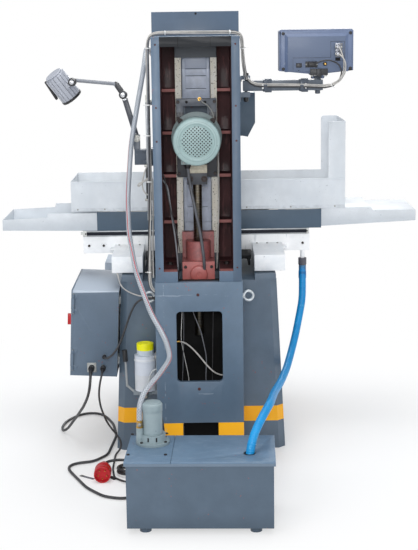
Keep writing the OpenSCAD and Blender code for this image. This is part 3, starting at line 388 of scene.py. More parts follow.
cable_rubber = Finish("cable_rubber", card(44, 44, 47), 0.46)
dusty = cable_rubber.noise(0.03) * cable_rubber.noise(0.006, low=0.2)
cable_rubber.cover(dusty * 0.55, card(92, 92, 94), 0.62)
cable_rubber.skin(cable_rubber.noise(0.002), 0.0002)

mains_run = [(430, 322, 352), (430, 334, 352), (430, 357, 348), (430, 375, 334), (431, 384, 310),
             (434, 380, 284), (447, 350, 240), (470, 285, 185), (512, 165, 105), (562, 66, 22),
             (583, 45, 7), (592, -20, 7), (580, -96, 7), (548, -166, 7), (514, -204, 7), (478, -215, 7),
             (442, -200, 7), (414, -156, 7), (376, -50, 7), (352, 110, 7), (372, 357, 7), (424, 438, 7),
             (478, 446, 7), (514, 476, 7), (513, 524, 7), (489, 581, 7), (426, 728, 7), (356, 822, 7),
             (282, 850, 7), (224, 812, 7), (203, 720, 7), (212, 610, 7), (215, 565, 7)]
coil = [(270 - 55 * math.cos(turn), 565 - 55 * math.sin(turn), 7 + 0.5 * k)
        for k, turn in ((k, math.radians(15 * k)) for k in range(1, 55))]
tail_run = [(299, 501, 34), (324, 493, 33), (349, 497, 32), (366, 509, 32), (372, 525, 32), (372, 539, 32)]
mains_path = eased(mains_run + coil + tail_run, rounds=26)
mains_lead = tube("mains_lead", mains_path, 0.0055, cable_rubber)
settle(mains_lead, "root", "black_rubber", "mains_cable", "mains_coil")


# Mains plug: a red moulded plug for three phases, with five brass pins in a deep collar, a
# ribbed grip and a black gland nut that holds the cable. Moulded plastic screwed together.
def grained(name, colour, roughness, size=0.002, depth=0.0001):
    """An even finish with a fine grain in its skin."""
    finish = Finish(name, colour, roughness)
    return finish.skin(finish.noise(size), depth)


def round_places(count, radius, centre, start=0):
    """Places in millimetres on a circle that faces along Y, from a starting angle in degrees."""
    turns = [math.radians(start + 360 * k / count) for k in range(count)]
    x, y, z = centre
    return [(x + radius * math.cos(turn), y, z + radius * math.sin(turn)) for turn in turns]


plug_red = Finish("plug_red", card(184, 6, 22), 0.32, coat=0.15)
plug_red.cover(plug_red.noise(0.02, high=0.25), card(150, 4, 16))
plug_red.skin(plug_red.noise(0.0015), 0.00008)
plug_dark = grained("plug_face_red", card(190, 6, 22), 0.45, depth=0.0002)
brass = Finish("brass", card(206, 168, 96), 0.28, metallic=1.0)
brass.cover(brass.noise(0.006), card(160, 122, 60), 0.4)
black_plastic = grained("black_plastic", card(30, 30, 33), 0.42, 0.0012)
plug_at, plug_back = (372, 665, 32), FRONT
shell = [(27, 38), (27, 0), (28.2, -0.4), (30.6, 0), (31.4, 1.2), (31.4, 9), (32, 10), (32, 20), (31, 22),
         (31, 40), (32, 42), (32, 58), (30, 62), (29, 70), (25, 84), (21, 96), (20.5, 98), (0, 98)]
collar = lathe("plug_shell", shell, plug_at, plug_back, plug_red, 48)
face = lathe("plug_face", [(27.4, 13), (27, 12), (0, 12), (0, 37), (27.4, 37)],
             plug_at, plug_back, plug_dark, 48)
parts = [collar, face]
parts += [lathe("plug_pin", [(0, 5), (1.8, 5.6), (2.5, 7), (2.5, 36)], at, plug_back, brass, 12)
          for at in round_places(5, 17, plug_at, 270)]
parts += [lathe("plug_rib", [(0, 23), (1.1, 23.6), (1.1, 38.4), (0, 39)], at, plug_back, plug_red, 8)
          for at in round_places(24, 31.2, plug_at)]
nut = lathe("plug_nut", [(17, 97), (18.5, 98.5), (18.5, 108), (17, 110), (13, 112), (12, 120), (9, 124),
                         (6.4, 126), (5.6, 126)], plug_at, plug_back, black_plastic, 12)
plug = joined("mains_plug_red", *parts, nut)
settle(plug, "root", "red_plastic", "mains_plug")
round(run_length(mains_path), 2)


# Pump cable: a thinner black lead, 8 mm, from the middle gland of the cabinet along the floor,
# over the mains cable in a low hump, round the tank's corner and up into the pump's terminal box.
pump_run = [(384, 322, 351), (384, 340, 351), (387, 356, 335), (396, 358, 300), (402, 352, 250),
            (396, 345, 200), (374, 326, 130), (345, 312, 84), (318, 316, 48), (322, 318, 16),
            (342, 345, 5), (342, 430, 5), (342, 520, 5), (330, 620, 5), (286, 676, 8), (240, 700, 18),
            (204, 720, 20), (172, 768, 14), (146, 830, 5), (131, 872, 14), (130, 884, 60),
            (130, 886, 160), (132, 886, 290), (140, 888, 338), (160, 896, 350), (167, 912, 350)]
pump_path = eased(pump_run, rounds=14)
pump_lead = tube("pump_lead", pump_path, 0.004, cable_rubber, 10)
settle(pump_lead, "root", "black_rubber", "pump_cable")
round(run_length(pump_path), 2)


# Coolant hose: clear vinyl with a white braid in its wall and a thin red stripe, 19 mm thick.
# It climbs from the pump beside the column, goes over its shoulder and down to the wheel guard.
clear_vinyl = Finish("clear_vinyl_hose", card(150, 157, 166), 0.28, coat=0.2)
round_x, round_y, along = clear_vinyl.ring()
around = clear_vinyl.maths("ARCTAN2", round_y, round_x) / (2 * math.pi)
braid = clear_vinyl.maths("MAXIMUM", *(((around * 6 + along * turn) % 1).near(0.5, 0.13)
                                       for turn in (95, -95)))
clear_vinyl.cover(clear_vinyl.noise(0.05, high=0.5), card(116, 124, 134))
clear_vinyl.cover(braid * 0.7, card(206, 211, 218))
stripe_at = clear_vinyl.noise(0.12, detail=0.0) * 0.02
clear_vinyl.cover(((around + along * 0.45 + stripe_at) % 1).near(0.5, 0.024), card(190, 60, 66))
clear_vinyl.skin(braid, 0.0004)
coolant_run = [(211, 987, 319), (211, 987, 352), (213, 986, 394), (198, 960, 434), (145, 850, 468),
               (104, 744, 500), (126, 650, 551), (180, 570, 627), (238, 465, 768), (264, 390, 901),
               (268, 340, 1028), (252, 310, 1233), (227, 300, 1370), (198, 276, 1520), (190, 225, 1590),
               (186, 140, 1596), (160, 0, 1545), (122, -86, 1486), (100, -118, 1462), (100, -118, 1440)]
coolant_path = eased(coolant_run, rounds=40)
coolant_pipe = tube("coolant_pipe", coolant_path, 0.0095, clear_vinyl, 20)
settle(coolant_pipe, None, "clear_hose", "coolant_hose")
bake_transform(coolant_pipe)
round(run_length(coolant_path), 2)


# Drain hose: a soft blue hose, 30 mm thick, that hangs from the spout under the saddle's end and
# runs down into a hole in the tank's lid. A blue cuff and a dark threaded nipple hold it.
blue_vinyl = Finish("blue_vinyl_hose", card(0, 146, 212), 0.42, coat=0.05)
helix = abs((blue_vinyl.ring()[2] * 125) % 1 - 0.5) * 2
blue_vinyl.cover(blue_vinyl.noise(0.09, high=0.6), card(0, 124, 190))
blue_vinyl.cover((blue_vinyl.noise(0.02) > 0.95) * 0.3, card(110, 196, 226))
blue_vinyl.skin(helix, 0.0007)
drain_run = [(-430, 0, 705), (-430, 0, 675), (-430, 5, 620), (-428, 24, 556), (-413, 60, 498),
             (-394, 110, 430), (-370, 190, 374), (-343, 300, 334), (-311, 440, 318), (-278, 600, 326),
             (-260, 760, 350), (-250, 880, 376), (-241, 960, 388), (-220, 1022, 376), (-195, 1064, 345),
             (-174, 1088, 305), (-167, 1099, 275), (-164, 1102, 240)]
drain_path = eased(drain_run, rounds=36)


def soft_rings(along):
    """A hose swells a little between its reinforcing turns."""
    return 1 + 0.012 * math.sin(2 * math.pi * along / 0.012)


drain_pipe = tube("drain_pipe", drain_path, 0.0148, blue_vinyl, 24, soft_rings)
settle(drain_pipe, None, "blue_hose", "drain_hose")
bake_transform(drain_pipe)
round(run_length(drain_path), 2)
cuff_blue = grained("cuff_blue", card(6, 104, 168), 0.4)
nipple_grey = grained("nipple_grey", card(84, 84, 92), 0.36)
cuff = lathe("drain_cuff", [(15.2, 0), (16, 1), (16, 28), (15.4, 30), (14.6, 30)],
             (-430, 0.5, 642), UP, cuff_blue)
threads = [(14.6 + 0.9 * (k % 2), 671 + 1.8 * k) for k in range(16)]
nipple = lathe("drain_nipple", [(14.6, 668), *threads, (16.5, 700), (17, 701), (17, 727), (16, 728)],
               (-430, 0, 0), UP, nipple_grey)
fitting = joined("drain_fitting", cuff, nipple)
settle(fitting, "saddle", "blue_hose")


# Motor cable: a dark lead, 12 mm thick, that hangs in the column's open back from the motor's
# terminal box down to a gland in the gearbox casting, with slack for the head's travel.
grey_rubber = Finish("grey_rubber", card(74, 76, 82), 0.5)
grey_rubber.cover(grey_rubber.noise(0.03, high=0.4), card(108, 110, 116))
grey_rubber.skin(grey_rubber.noise(0.002), 0.0002)
motor_run = [(35, 400, 1165), (35, 401, 1140), (24, 425, 1070), (8, 432, 990), (-10, 432, 900),
             (-22, 425, 800), (-22, 406, 756), (-22, 401, 750)]
motor_path = eased(motor_run, rounds=20)
motor_lead = tube("motor_lead", motor_path, 0.006, grey_rubber)
settle(motor_lead, None, "black_rubber", "motor_cable")
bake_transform(motor_lead)


# Base: one hollow iron casting with leaning sides, painted blue-grey, with a yellow safety band
# near the floor. Its two way rails are milled bright, and the saddle slides on them.
def eased_casting(name, node, body, finish, radius=0.003, segments=2, least=20):
    """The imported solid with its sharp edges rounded, as a foundry or a sheet-metal shop leaves them."""
    mesh = bmesh.new()
    mesh.from_mesh(frame["nodes"][node].data)
    bmesh.ops.remove_doubles(mesh, verts=mesh.verts, dist=0.00002)
    bmesh.ops.dissolve_limit(mesh, angle_limit=math.radians(0.8), verts=mesh.verts, edges=mesh.edges)
    sharp = [e for e in mesh.edges if len(e.link_faces) == 2 and e.calc_face_angle(0) > math.radians(least)]
    bmesh.ops.bevel(mesh, geom=sharp, offset=radius, segments=segments, profile=0.5, affect="EDGES",
                    clamp_overlap=True)
    return settle(creased(link(name, mesh, finish), 28), body, slots[node], node)


slots = {part["node"]: part["material_slot"] for part in frame["record"]["subparts"]}


def enamel(name, colour, edge_wear_and_highlight=0.5, primer=card(150, 78, 74)):
    """Machine enamel: slightly uneven, with a fine orange-peel skin, primer showing where it chipped, and
    lighter edges that are partly rubbed paint and partly a painted highlight.
    """
    finish = Finish(name, colour, 0.4, coat=0.06)
    light = tuple(min(1.0, v * 1.13 + 0.006) for v in colour)
    dark = tuple(v * 0.86 for v in colour)
    finish.cover(finish.noise(0.22, high=0.75), light)
    finish.cover(finish.noise(0.07, high=0.55), dark, 0.5)
    finish.cover((finish.noise(0.0016, detail=1.0) > 0.9) * 0.35, light)
    # Lighter edges: partly rubbed paint, partly a painted highlight.
    rubbed_and_highlit_edge = finish.edges(0.0016)
    finish.cover(rubbed_and_highlit_edge * finish.noise(0.02) * edge_wear_and_highlight, tuple(min(1.0, v * 1.7 + 0.05) for v in colour), 0.55)
    if edge_wear_and_highlight:
        finish.cover((finish.noise(0.009, detail=2.0) > 0.99) * (finish.noise(0.06) > 0.8) * 0.7, primer, 0.7)
    finish.skin(finish.noise(0.0035, detail=2.0), 0.00012)
    return finish


def metal(name, colour, roughness=0.34, grain=(1, 1, 1), dull=0.5):
    """Bare or plated metal, with fine marks along its grain and patches that have gone dull."""
    finish = Finish(name, colour, roughness, metallic=1.0)
    marks = finish.noise(0.004, place=finish.stretched(*grain))
    finish.cover(marks * 0.5, tuple(v * 0.72 for v in colour), roughness + 0.08)
    finish.cover(finish.noise(0.035, high=dull), tuple(v * 0.6 for v in colour), roughness + 0.2)
    return finish.skin(marks, 0.00005)


def moulded(name, colour, roughness=0.42, grain=0.0012):
    """Moulded plastic or rubber: an even colour with faint handling marks and a fine grain."""
    finish = Finish(name, colour, roughness)
    finish.cover(finish.noise(0.04, high=0.35), tuple(v * 0.78 for v in colour), roughness + 0.1)
    return finish.skin(finish.noise(grain), 0.00008)


def plate(x, y, z, finish, broken=1.0, segments=2):
    """A block between its limits in millimetres, with its edges broken."""
    mesh = bmesh.new()
    bmesh.ops.create_cube(mesh, size=1)
    low, high = Vector((x[0], y[0], z[0])), Vector((x[1], y[1], z[1]))
    for vert in mesh.verts:
        vert.co = ((low + high) / 2 + Vector(a * b for a, b in zip(vert.co, high - low))) / 1000
    bmesh.ops.bevel(mesh, geom=mesh.edges[:], offset=broken / 1000, segments=segments, profile=0.5,
                    affect="EDGES", clamp_overlap=True)
    return creased(link("plate", mesh, finish))


def detail(name, body, slot, *parts):
    """Small parts made one piece that rides on a body."""
    return settle(joined(name, *parts), body, slot)


def hex_bolt(at, towards, across, height, finish, washer=True):
    """A hexagon head across its corners, with a washer under it, in millimetres."""
    head = [(across * 0.5, 0), (across * 0.5, height * 0.85), (across * 0.42, height), (0, height)]
    parts = [lathe("hex_head", [(r, a + 1.6) for r, a in head], at, towards, finish, 6)]
    if washer:
        profile = [(across * 0.72, 0), (across * 0.72, 1.3), (across * 0.7, 1.7), (0, 1.7)]
        parts.append(lathe("washer", profile, at, towards, finish, 24))
    return parts


band_yellow = card(252, 180, 0)
base_enamel = enamel("base_enamel", card(88, 104, 120))
band = base_enamel.z.between(0.115, 0.177)
outside = abs(base_enamel.x) > 0.29
behind = base_enamel.y > 0.279
front_face = base_enamel.y < -0.498
band = band * ((outside + behind + front_face) > 0.5)
base_enamel.cover(band, band_yellow, 0.38)
base_enamel.cover(band * base_enamel.noise(0.05, high=0.3), card(236, 164, 2))
milled = (abs(base_enamel.x) > 0.2279) * (base_enamel.z > 0.7405) * (base_enamel.y < 0.126)
base_enamel.cover(milled, card(150, 150, 148), 0.3)
base_enamel.cover(milled * base_enamel.noise(0.004, place=base_enamel.stretched(1, 0.04, 1)),
                  card(112, 112, 112))
# Painted shade: the base's inside behind the pedestal, where it shows through the pedestal's openings, is
# painted near black.
painted_shade_inside_base = (abs(base_enamel.x) < 0.142) * (base_enamel.y > 0.27) * (base_enamel.z < 0.7)
base_enamel.cover(painted_shade_inside_base, card(3, 3, 4), 0.95)
eased_casting("base_casting", "base", "root", base_enamel, 0.004, 3)


# Pedestal: the casting behind the base that carries the column, with a window that gives access
# to the elevating screw and an arch at the floor. It is bolted on and painted with the base.
pedestal_enamel = enamel("pedestal_enamel", card(90, 110, 130), 0.8)
# Painted shade: the pedestal is painted darker towards the floor.
painted_shade_low = pedestal_enamel.fade(pedestal_enamel.z, 0.62, 0.2, 0.0, 0.55)
pedestal_enamel.cover(painted_shade_low * pedestal_enamel.noise(0.3, low=0.4), card(60, 80, 99))
feet = pedestal_enamel.z.between(0.116, 0.178) * (pedestal_enamel.y > 0.29)
pedestal_enamel.cover(feet, band_yellow, 0.38)
# Painted shade: the pedestal's hollow inside is painted near black.
painted_shade_hollow = (abs(pedestal_enamel.x) < 0.1425) * (pedestal_enamel.y < 0.4765)
pedestal_enamel.cover(painted_shade_hollow, card(4, 4, 5), 0.95)
scratch = pedestal_enamel.noise(0.012, place=pedestal_enamel.stretched(0.16, 1, 1), detail=4.0)
level = pedestal_enamel.z.near(0.678, 0.0035)
level = level + pedestal_enamel.z.near(0.293, 0.0022) * (abs(pedestal_enamel.x) < 0.05)
upright = pedestal_enamel.x.near(0.134, 0.0016)
marks = (level + upright) * (scratch > 0.62) * (pedestal_enamel.y > 0.49)
pedestal_enamel.cover(marks * 0.3, card(160, 172, 184), 0.6)
eased_casting("pedestal_casting", "pedestal", "root", pedestal_enamel, 0.003, 3)


def each(part, places, *rest):
    """The same small part at several places, as one list."""
    return [piece for at in places for piece in part(at, *rest)]


def socket_screw(at, towards, head=6.5, height=5, finish=None):
    """A cap screw with its hexagon socket, from the surface at, along towards, in millimetres."""
    hexagon = head * 0.5
    body = lathe("screw_head", [(head, 0), (head, height - 0.8), (head - 0.8, height), (hexagon, height)],
                 at, towards, finish or black_oxide, 20, closed=False)
    well = lathe("screw_socket", [(hexagon, height), (hexagon, height * 0.35), (0, height * 0.35)],
                 at, towards, finish or black_oxide, 6)
    return [body, well]


black_oxide = Finish("black_oxide", card(46, 44, 46), 0.4, metallic=0.8)
black_oxide.cover(black_oxide.noise(0.004) * 0.6, card(84, 74, 70), 0.6)
rusty = Finish("rusty_hole", card(94, 44, 42), 0.8)
rusty.cover(rusty.noise(0.003), card(40, 26, 28))
holes = [lathe("tapped_hole", [(6, 0), (6, 0.5), (3.4, 0.6), (3.2, 0.1), (0, 0.1)],
               (4, 500, z), BACK, rusty, 20)
         for z in (681, 313)]
holes += [lathe("tapped_hole", [(3.6, 0), (3.6, 0.4), (2.2, 0.5), (2.0, 0.1), (0, 0.1)],
                (x, 500, z), BACK, rusty, 16)
          for x, z in ((-146, 1612), (146, 1612), (-146, 1388), (147, 1384), (-147, 1260), (147, 1260),
                       (-146, 784), (146, 784))]
detail("tapped_holes", "root", "grey_paint", *holes)


# Column: a tall iron casting, open at the back, with a wall and a stile on each side. Inside it
# is only primed, in dark red, and its two rails are ground for the wheelhead and smeared with grease.
column_enamel = enamel("column_enamel", card(79, 100, 122), 0.9)
# Painted shade: the column's -X wall is painted darker over its rear part.
column_enamel.cover((column_enamel.x < -0.13) * (column_enamel.y > 0.3) * 0.6, card(58, 76, 96))
x, y, z = abs(column_enamel.x), column_enamel.y, column_enamel.z
inside = (x < 0.1315) * y.between(0.1602, 0.4993) * (z < 1.6035)
primer_tone = column_enamel.noise(0.11)
column_enamel.cover(inside, card(66, 21, 25), 0.7)
column_enamel.cover(inside * primer_tone * 0.8, card(38, 14, 18), 0.75)
streak = column_enamel.noise(0.012, place=column_enamel.stretched(1, 1, 0.14), detail=3.0)
column_enamel.cover(inside * (streak > 0.8) * 0.4, card(100, 54, 54))
# Painted light: the ribs' rear faces and the bottom plate inside the column are painted a lighter pink, as if
# lit.
painted_light_ribs = inside * y.between(0.274, 0.279) + inside * (z < 0.773) * (y > 0.45)
column_enamel.cover(painted_light_ribs * 0.8, card(158, 98, 94), 0.6)
rail = (x < 0.0805) * (y > 0.2) * inside
column_enamel.cover(rail, card(70, 76, 84), 0.5)
ground = rail * (x > 0.0555) * z.between(0.80, 1.558) * (y > 0.2565)
column_enamel.cover(ground, card(214, 212, 206), 0.38)
grease = column_enamel.noise(0.02, place=column_enamel.stretched(1, 1, 0.25), detail=3.0)
column_enamel.cover(ground * grease * 0.4, card(196, 184, 146), 0.3)
column_enamel.cover(ground * (column_enamel.noise(0.007) > 0.9), card(96, 88, 70), 0.4)
beam = (x < 0.1315) * (z > 1.6035) * (y > 0.4993)
column_enamel.cover(beam, card(20, 24, 30), 0.75)
seams = column_enamel.x.near(0.064, 0.0009) + column_enamel.x.near(-0.055, 0.0009)
column_enamel.cover(beam * seams, card(4, 5, 6), 0.9)
eased_casting("column_casting", "column", "root", column_enamel, 0.0025, 3)


# Gearbox: a casting in red primer paint at the foot of the column. It holds the bevel gears and
# the nut that lift the head, and has a round cover towards the back with a black plug under it.
gear_red = enamel("gear_red", card(176, 90, 84), 0.6, card(80, 46, 46))
upper = gear_red.node("ShaderNodeMapRange", {}, {0: gear_red.z, 1: 0.70, 2: 0.80, 3: 0.0, 4: 0.7})
gear_red.cover(upper * gear_red.noise(0.05, low=0.3), card(150, 96, 98), 0.5)
gear_red.cover(gear_red.noise(0.012, high=0.5) * (gear_red.z > 0.7895), card(104, 70, 72))
eased_casting("gearbox_casting", "gearbox_housing", "root", gear_red, 0.004, 3)
# Near black: the colour of the gearbox's black plug, and painted shade in holes and gaps that are only discs
# and plates.
hole_shade_and_black = moulded("hole_shade_and_black", card(16, 16, 18), 0.8)
zinc = metal("zinc_plate", card(172, 172, 168), 0.38)
cover = lathe("gear_cover", [(34, 0), (34, 7), (31, 11), (25, 13), (10, 13.5), (9, 12), (0, 12)],
              (-1, 400, 742), BACK, gear_red, 40)
plug_hole = lathe("gear_plug", [(10, 0), (10, 1.5), (8, 2), (7, 0.4), (0, 0.4)],
                  (-1, 400, 698), BACK, hole_shade_and_black, 24)
bolts = each(hex_bolt, ((109, 348, 771), (-109, 348, 771)), UP, 19, 8, black_oxide)
bolts += each(socket_screw, ((50, 400, 640), (-50, 400, 640), (50, 400, 770), (-50, 400, 770)), BACK, 6, 5)
detail("gearbox_fittings", "root", "red_casting", cover, plug_hole, *bolts)


# Elevating screw, nut and bevel gears: the screw hangs from the head and doesn't turn. The bronze
# nut in the gearbox turns round it, driven by the shaft of the front handwheel.
screw_steel = metal("screw_steel", card(150, 148, 142), 0.3, (1, 1, 0.3))
round_screw = screw_steel.maths("ARCTAN2", screw_steel.y - 0.33, screw_steel.x) / (2 * math.pi)
turn = (screw_steel.z * 166 + round_screw) % 1
screw_steel.cover((turn > 0.5) * 0.8, card(84, 80, 72), 0.4)
screw_steel.cover(screw_steel.noise(0.02, high=0.5), card(120, 104, 70), 0.25)
nut_block, cap_block = screw_steel.z > 1.0838, screw_steel.z > 1.1278
screw_steel.cover(nut_block, card(56, 60, 68), 0.5)
screw_steel.cover(cap_block, card(204, 198, 180), 0.5)
screw_steel.cover(cap_block * screw_steel.noise(0.01, high=0.5), card(160, 150, 128))
screw_steel.feed("Metallic", 1 - nut_block)
screw_steel.skin(turn * (screw_steel.z < 1.08), 0.0006)
eased_casting("lift_screw", "elevating_screw", "wheelhead", screw_steel, 0.0008)
detail("nut_block_bolts", "wheelhead", "black_steel",
       *each(hex_bolt, ((27, 375, 1105), (-27, 375, 1105)), BACK, 17, 7, black_oxide))
gear_bronze = metal("gear_bronze", card(178, 128, 66), 0.36)
eased_casting("lift_nut", "elevating_nut", "elevating_nut", gear_bronze, 0.0004)
cast_black = moulded("cast_black", card(38, 40, 44), 0.38)
chrome = metal("chrome", card(214, 216, 220), 0.12, dull=0.2)


def wheel_finish(name, centre, rim):
    """Handwheel: a bright turned rim, a painted web and a bright shaft behind it."""
    finish = Finish(name, card(52, 56, 62), 0.42)
    finish.cover(finish.noise(0.02, high=0.4), card(40, 42, 46))
    offset = finish.vector("SUBTRACT", finish.place, centre)
    far = finish.vector("LENGTH", finish.vector("MULTIPLY", offset, (1, 0, 1)), output=1)
    behind_rim = finish.split(offset)[1]
    bright = ((far > rim - 0.024) + (behind_rim > 0.016) + (far < 0.018)) > 0.5
    bright = bright * (behind_rim > -0.004)
    marks = finish.noise(0.002, place=finish.stretched(1, 0.1, 1))
    finish.cover(bright, card(196, 196, 194), 0.22)
    finish.cover(bright * marks * 0.4, card(130, 130, 128), 0.32)
    finish.feed("Metallic", bright)
    return finish.skin(marks, 0.00006)


eased_casting("lift_wheel", "elevating_handwheel", "elevating_handwheel",
              wheel_finish("lift_wheel_finish", (0, -0.557, 0.652), 0.08), 0.0008)


# Wheelhead: a horizontal casting with its spindle bearings, held by a black slide plate on the
# rails of the column. It runs forward through the column's slot to the grinding wheel.
head_enamel = enamel("head_enamel", card(98, 110, 124), 0.5)
ground_shoe = abs(head_enamel.x).between(0.0565, 0.151) * (head_enamel.y > 0.1445)
head_enamel.cover(ground_shoe * (head_enamel.z < 1.399), card(150, 150, 148), 0.35)
eased_casting("head_casting", "wheelhead", "wheelhead", head_enamel, 0.003, 3)
slide_black = enamel("slide_black", card(52, 56, 64), 0.6)
slide_top = slide_black.z > 1.352
slide_black.cover(slide_top, card(92, 100, 112), 0.45)
slide_black.cover(slide_top * slide_black.noise(0.02, high=0.5), card(70, 78, 90))
eased_casting("slide_casting", "slide_plate", "wheelhead", slide_black, 0.003, 3)
# The two holes in the slide plate are dark discs of painted shade.
screws = [lathe("slide_hole", [(5.5, 0), (5.5, 0.4), (4.5, 0.5), (4.2, 0.1), (0, 0.1)],
                at, BACK, hole_shade_and_black, 20)
          for at in ((37, 285, 1391), (-34, 285, 1390))]
screws += each(socket_screw, [(x, 285, z) for x in (70, -70) for z in (1116, 1186, 1330, 1392)], BACK, 6.5, 6)
screws += hex_bolt((-13, 285, 1402), BACK, 10, 5, brass)
ground_wire = tube("ground_wire", eased([(-13, 290, 1402), (-20, 296, 1392), (-44, 300, 1380),
                                         (-64, 300, 1350), (-66, 298, 1322), (-58, 294, 1296),
                                         (-46, 292, 1276)], 0.004, 8), 0.0022,
                   moulded("wire_grey", card(176, 178, 176), 0.5), 8)
detail("slide_screws", "wheelhead", "black_steel", *screws, ground_wire)


# Motor: the flange motor behind the slide plate, grey-green like its pump, with cooling fins, a
# terminal box under it and a pressed fan cover whose middle is punched with small square holes.
motor_green = enamel("motor_green", card(132, 150, 152), 0.4, card(90, 96, 96))
eased_casting("motor_housing", "motor_body", "wheelhead", motor_green, 0.001)
spindle_height = 1258
motor_bolts = each(hex_bolt, round_places(4, 88, (0, 299, spindle_height), 45), BACK, 15, 8, black_oxide)
motor_bolts += each(socket_screw, [(x, 415, z) for z in (1172, 1189) for x in (20, 50)], BACK, 3, 2.5, zinc)
motor_bolts.append(lathe("motor_gland", [(13, 0), (13, 7), (11, 9), (9, 16), (6.5, 17)],
                         (35, 400, 1165), DOWN, black_plastic, 12))
detail("motor_bolts", "wheelhead", "black_steel", *motor_bolts)
fan_paint = enamel("fan_paint", card(142, 165, 165), 0.35, card(96, 104, 104))
dx, dz = fan_paint.x + 0.0008, fan_paint.z - 1.259
far = fan_paint.maths("SQRT", dx * dx + dz * dz)
row, line = (dx + dz) * 74, (dx - dz) * 74
# The fan cover's holes are only painted: near black as painted shade, with a bump.
painted_shade_holes = (row % 1).near(0.5, 0.26) * (line % 1).near(0.5, 0.26) * (far < 0.056) * (fan_paint.y > 0.49)
fan_paint.cover(painted_shade_holes, card(18, 20, 22), 0.8)
fan_paint.cover(far.near(0.0735, 0.001) * (fan_paint.y > 0.49) * 0.5, card(96, 112, 112))
fan_paint.skin(1 - painted_shade_holes + fan_paint.noise(0.0035) * 0.05, 0.0015)
fan_profile = [(74.2, 0), (87, 0), (89, 2), (89, 76), (88, 82), (85, 86), (80, 87.6), (68, 88),
               (66, 86.6), (64, 84.4), (60, 83.6), (58, 84.8), (54, 85.4), (0, 85.8)]
fan_bell = lathe("fan_bell", fan_profile, (0, 422, spindle_height), BACK, fan_paint, 96)
settle(fan_bell, "wheelhead", slots["fan_cover"], "fan_cover")
bearing_steel = metal("bearing_steel", card(186, 188, 190), 0.2)
eased_casting("head_bearings", "spindle_bearings", "wheelhead", bearing_steel, 0.0006)


# Slot guard plates: thin grey sheets that lap over each other and close the column's slot above
# and below the head, with a tall painted plate in front that rises behind the column's top.
slot_sheet = enamel("slot_sheet", card(196, 205, 224), 0.3, card(96, 100, 108))
front_plate = slot_sheet.y < 0.15
slot_sheet.cover(front_plate, card(71, 91, 113), 0.42)
slot_sheet.cover(front_plate * slot_sheet.noise(0.09, high=0.5), card(62, 80, 101))
slot_sheet.cover((1 - front_plate) * (slot_sheet.z > 1.514), card(166, 176, 196))
slot_sheet.cover((1 - front_plate) * slot_sheet.noise(0.03, high=0.6), card(172, 180, 196))
eased_casting("slot_screens", "slot_plates", "wheelhead", slot_sheet, 0.0008)
detail("lowest_slot_plate", "root", "sheet_paint",
       plate((-54, 54), (190, 193), (800, 940), slot_sheet, 0.8))
# The hanger hole is a dark disc of painted shade.
detail("guard_plate_hole", "wheelhead", "sheet_paint",
       lathe("hanger_hole", [(4.4, 0), (4.4, 0.4), (3.6, 0.5), (3.4, 0.1), (0, 0.1)],
             (-3, 146, 1724), BACK, hole_shade_and_black, 20))


# Spindle, wheel and flange: a ground steel spindle with the motor's rotor, a white grinding wheel
# of 200 mm with paper washers, and a black flange and nut that hold it on its taper.
spindle_steel = metal("spindle_steel", card(190, 192, 194), 0.18, (1, 0.1, 1), 0.3)
rotor_part = spindle_steel.y > 0.30
spindle_steel.cover(rotor_part, card(96, 92, 88), 0.5)
eased_casting("main_spindle", "spindle", "spindle", spindle_steel, 0.0006)
grit = Finish("wheel_grit", card(226, 222, 214), 0.85)
grit.cover(grit.noise(0.0008, detail=2.0), card(188, 178, 168))
grit.cover((grit.noise(0.0022, detail=1.0) > 0.8) * 0.7, card(140, 124, 116))
grit.cover(grit.noise(0.05, high=0.4), card(206, 190, 180))
grit.skin(grit.noise(0.0009), 0.0005)
eased_casting("wheel_stone", "grinding_wheel", "spindle", grit, 0.0008)
washer_card = moulded("washer_card", card(70, 108, 152), 0.8)
detail("wheel_washers", "spindle", "abrasive",
       *[lathe("paper_washer", [(46, 0), (50, 0), (50, 0.4), (46, 0.4)],
               (0, y, spindle_height), side, washer_card, 48)
         for y, side in ((-132.05, FRONT), (-111.95, BACK))])
flange_black = metal("flange_black", card(60, 58, 58), 0.36, dull=0.3)
eased_casting("wheel_clamp", "wheel_flange", "spindle", flange_black, 0.0008)


# Wheel guard: a welded steel hood with a chute on one side, painted like the column, with a hinged
# door at the front, a pale knob to open it, and the coolant valve and nozzle on the other side.
guard_enamel = enamel("guard_enamel", card(58, 77, 94), 0.7)
hood_inside = guard_enamel.y.between(-0.1655, -0.0955) * (guard_enamel.z < 1.398)
hood_inside = hood_inside * guard_enamel.x.between(-0.2375, 0.1125)
guard_enamel.cover(hood_inside * guard_enamel.noise(0.03, low=0.3), card(58, 66, 74), 0.7)
guard_enamel.cover(hood_inside * (guard_enamel.noise(0.01) > 0.7) * 0.6, card(120, 108, 98), 0.8)
eased_casting("wheel_hood", "wheel_guard", "wheelhead", guard_enamel, 0.0015)
door_enamel = enamel("door_enamel", card(224, 228, 232), 0.4, card(120, 126, 134))
eased_casting("hood_door", "guard_door", "guard_door", door_enamel, 0.0012)
knob = lathe("door_knob", [(8, 0), (8, 4), (12, 8), (14, 14), (12, 20), (6, 23), (0, 23.5)],
             (-215, -190, 1340), FRONT, black_plastic, 28)
detail("door_knob", "guard_door", "black_rubber", knob)
pipe_steel = metal("pipe_steel", card(176, 178, 180), 0.28)
eased_casting("coolant_outlet", "coolant_nozzle", "wheelhead", pipe_steel, 0.0008)
clip_parts = [lathe("hose_clip", [(10.4, 0), (10.9, 0.3), (10.9, 8.2), (10.4, 8.5)],
                    (100, -118, 1446), UP, pipe_steel, 32, False),
              plate((97, 103), (-133, -127), (1446, 1455), zinc, 0.8)]
detail("nozzle_clip", "wheelhead", "bright_steel", *clip_parts)
valve_red = moulded("valve_red", card(186, 30, 34), 0.36)
eased_casting("valve_handle", "valve_lever", "valve_lever", valve_red, 0.0012)


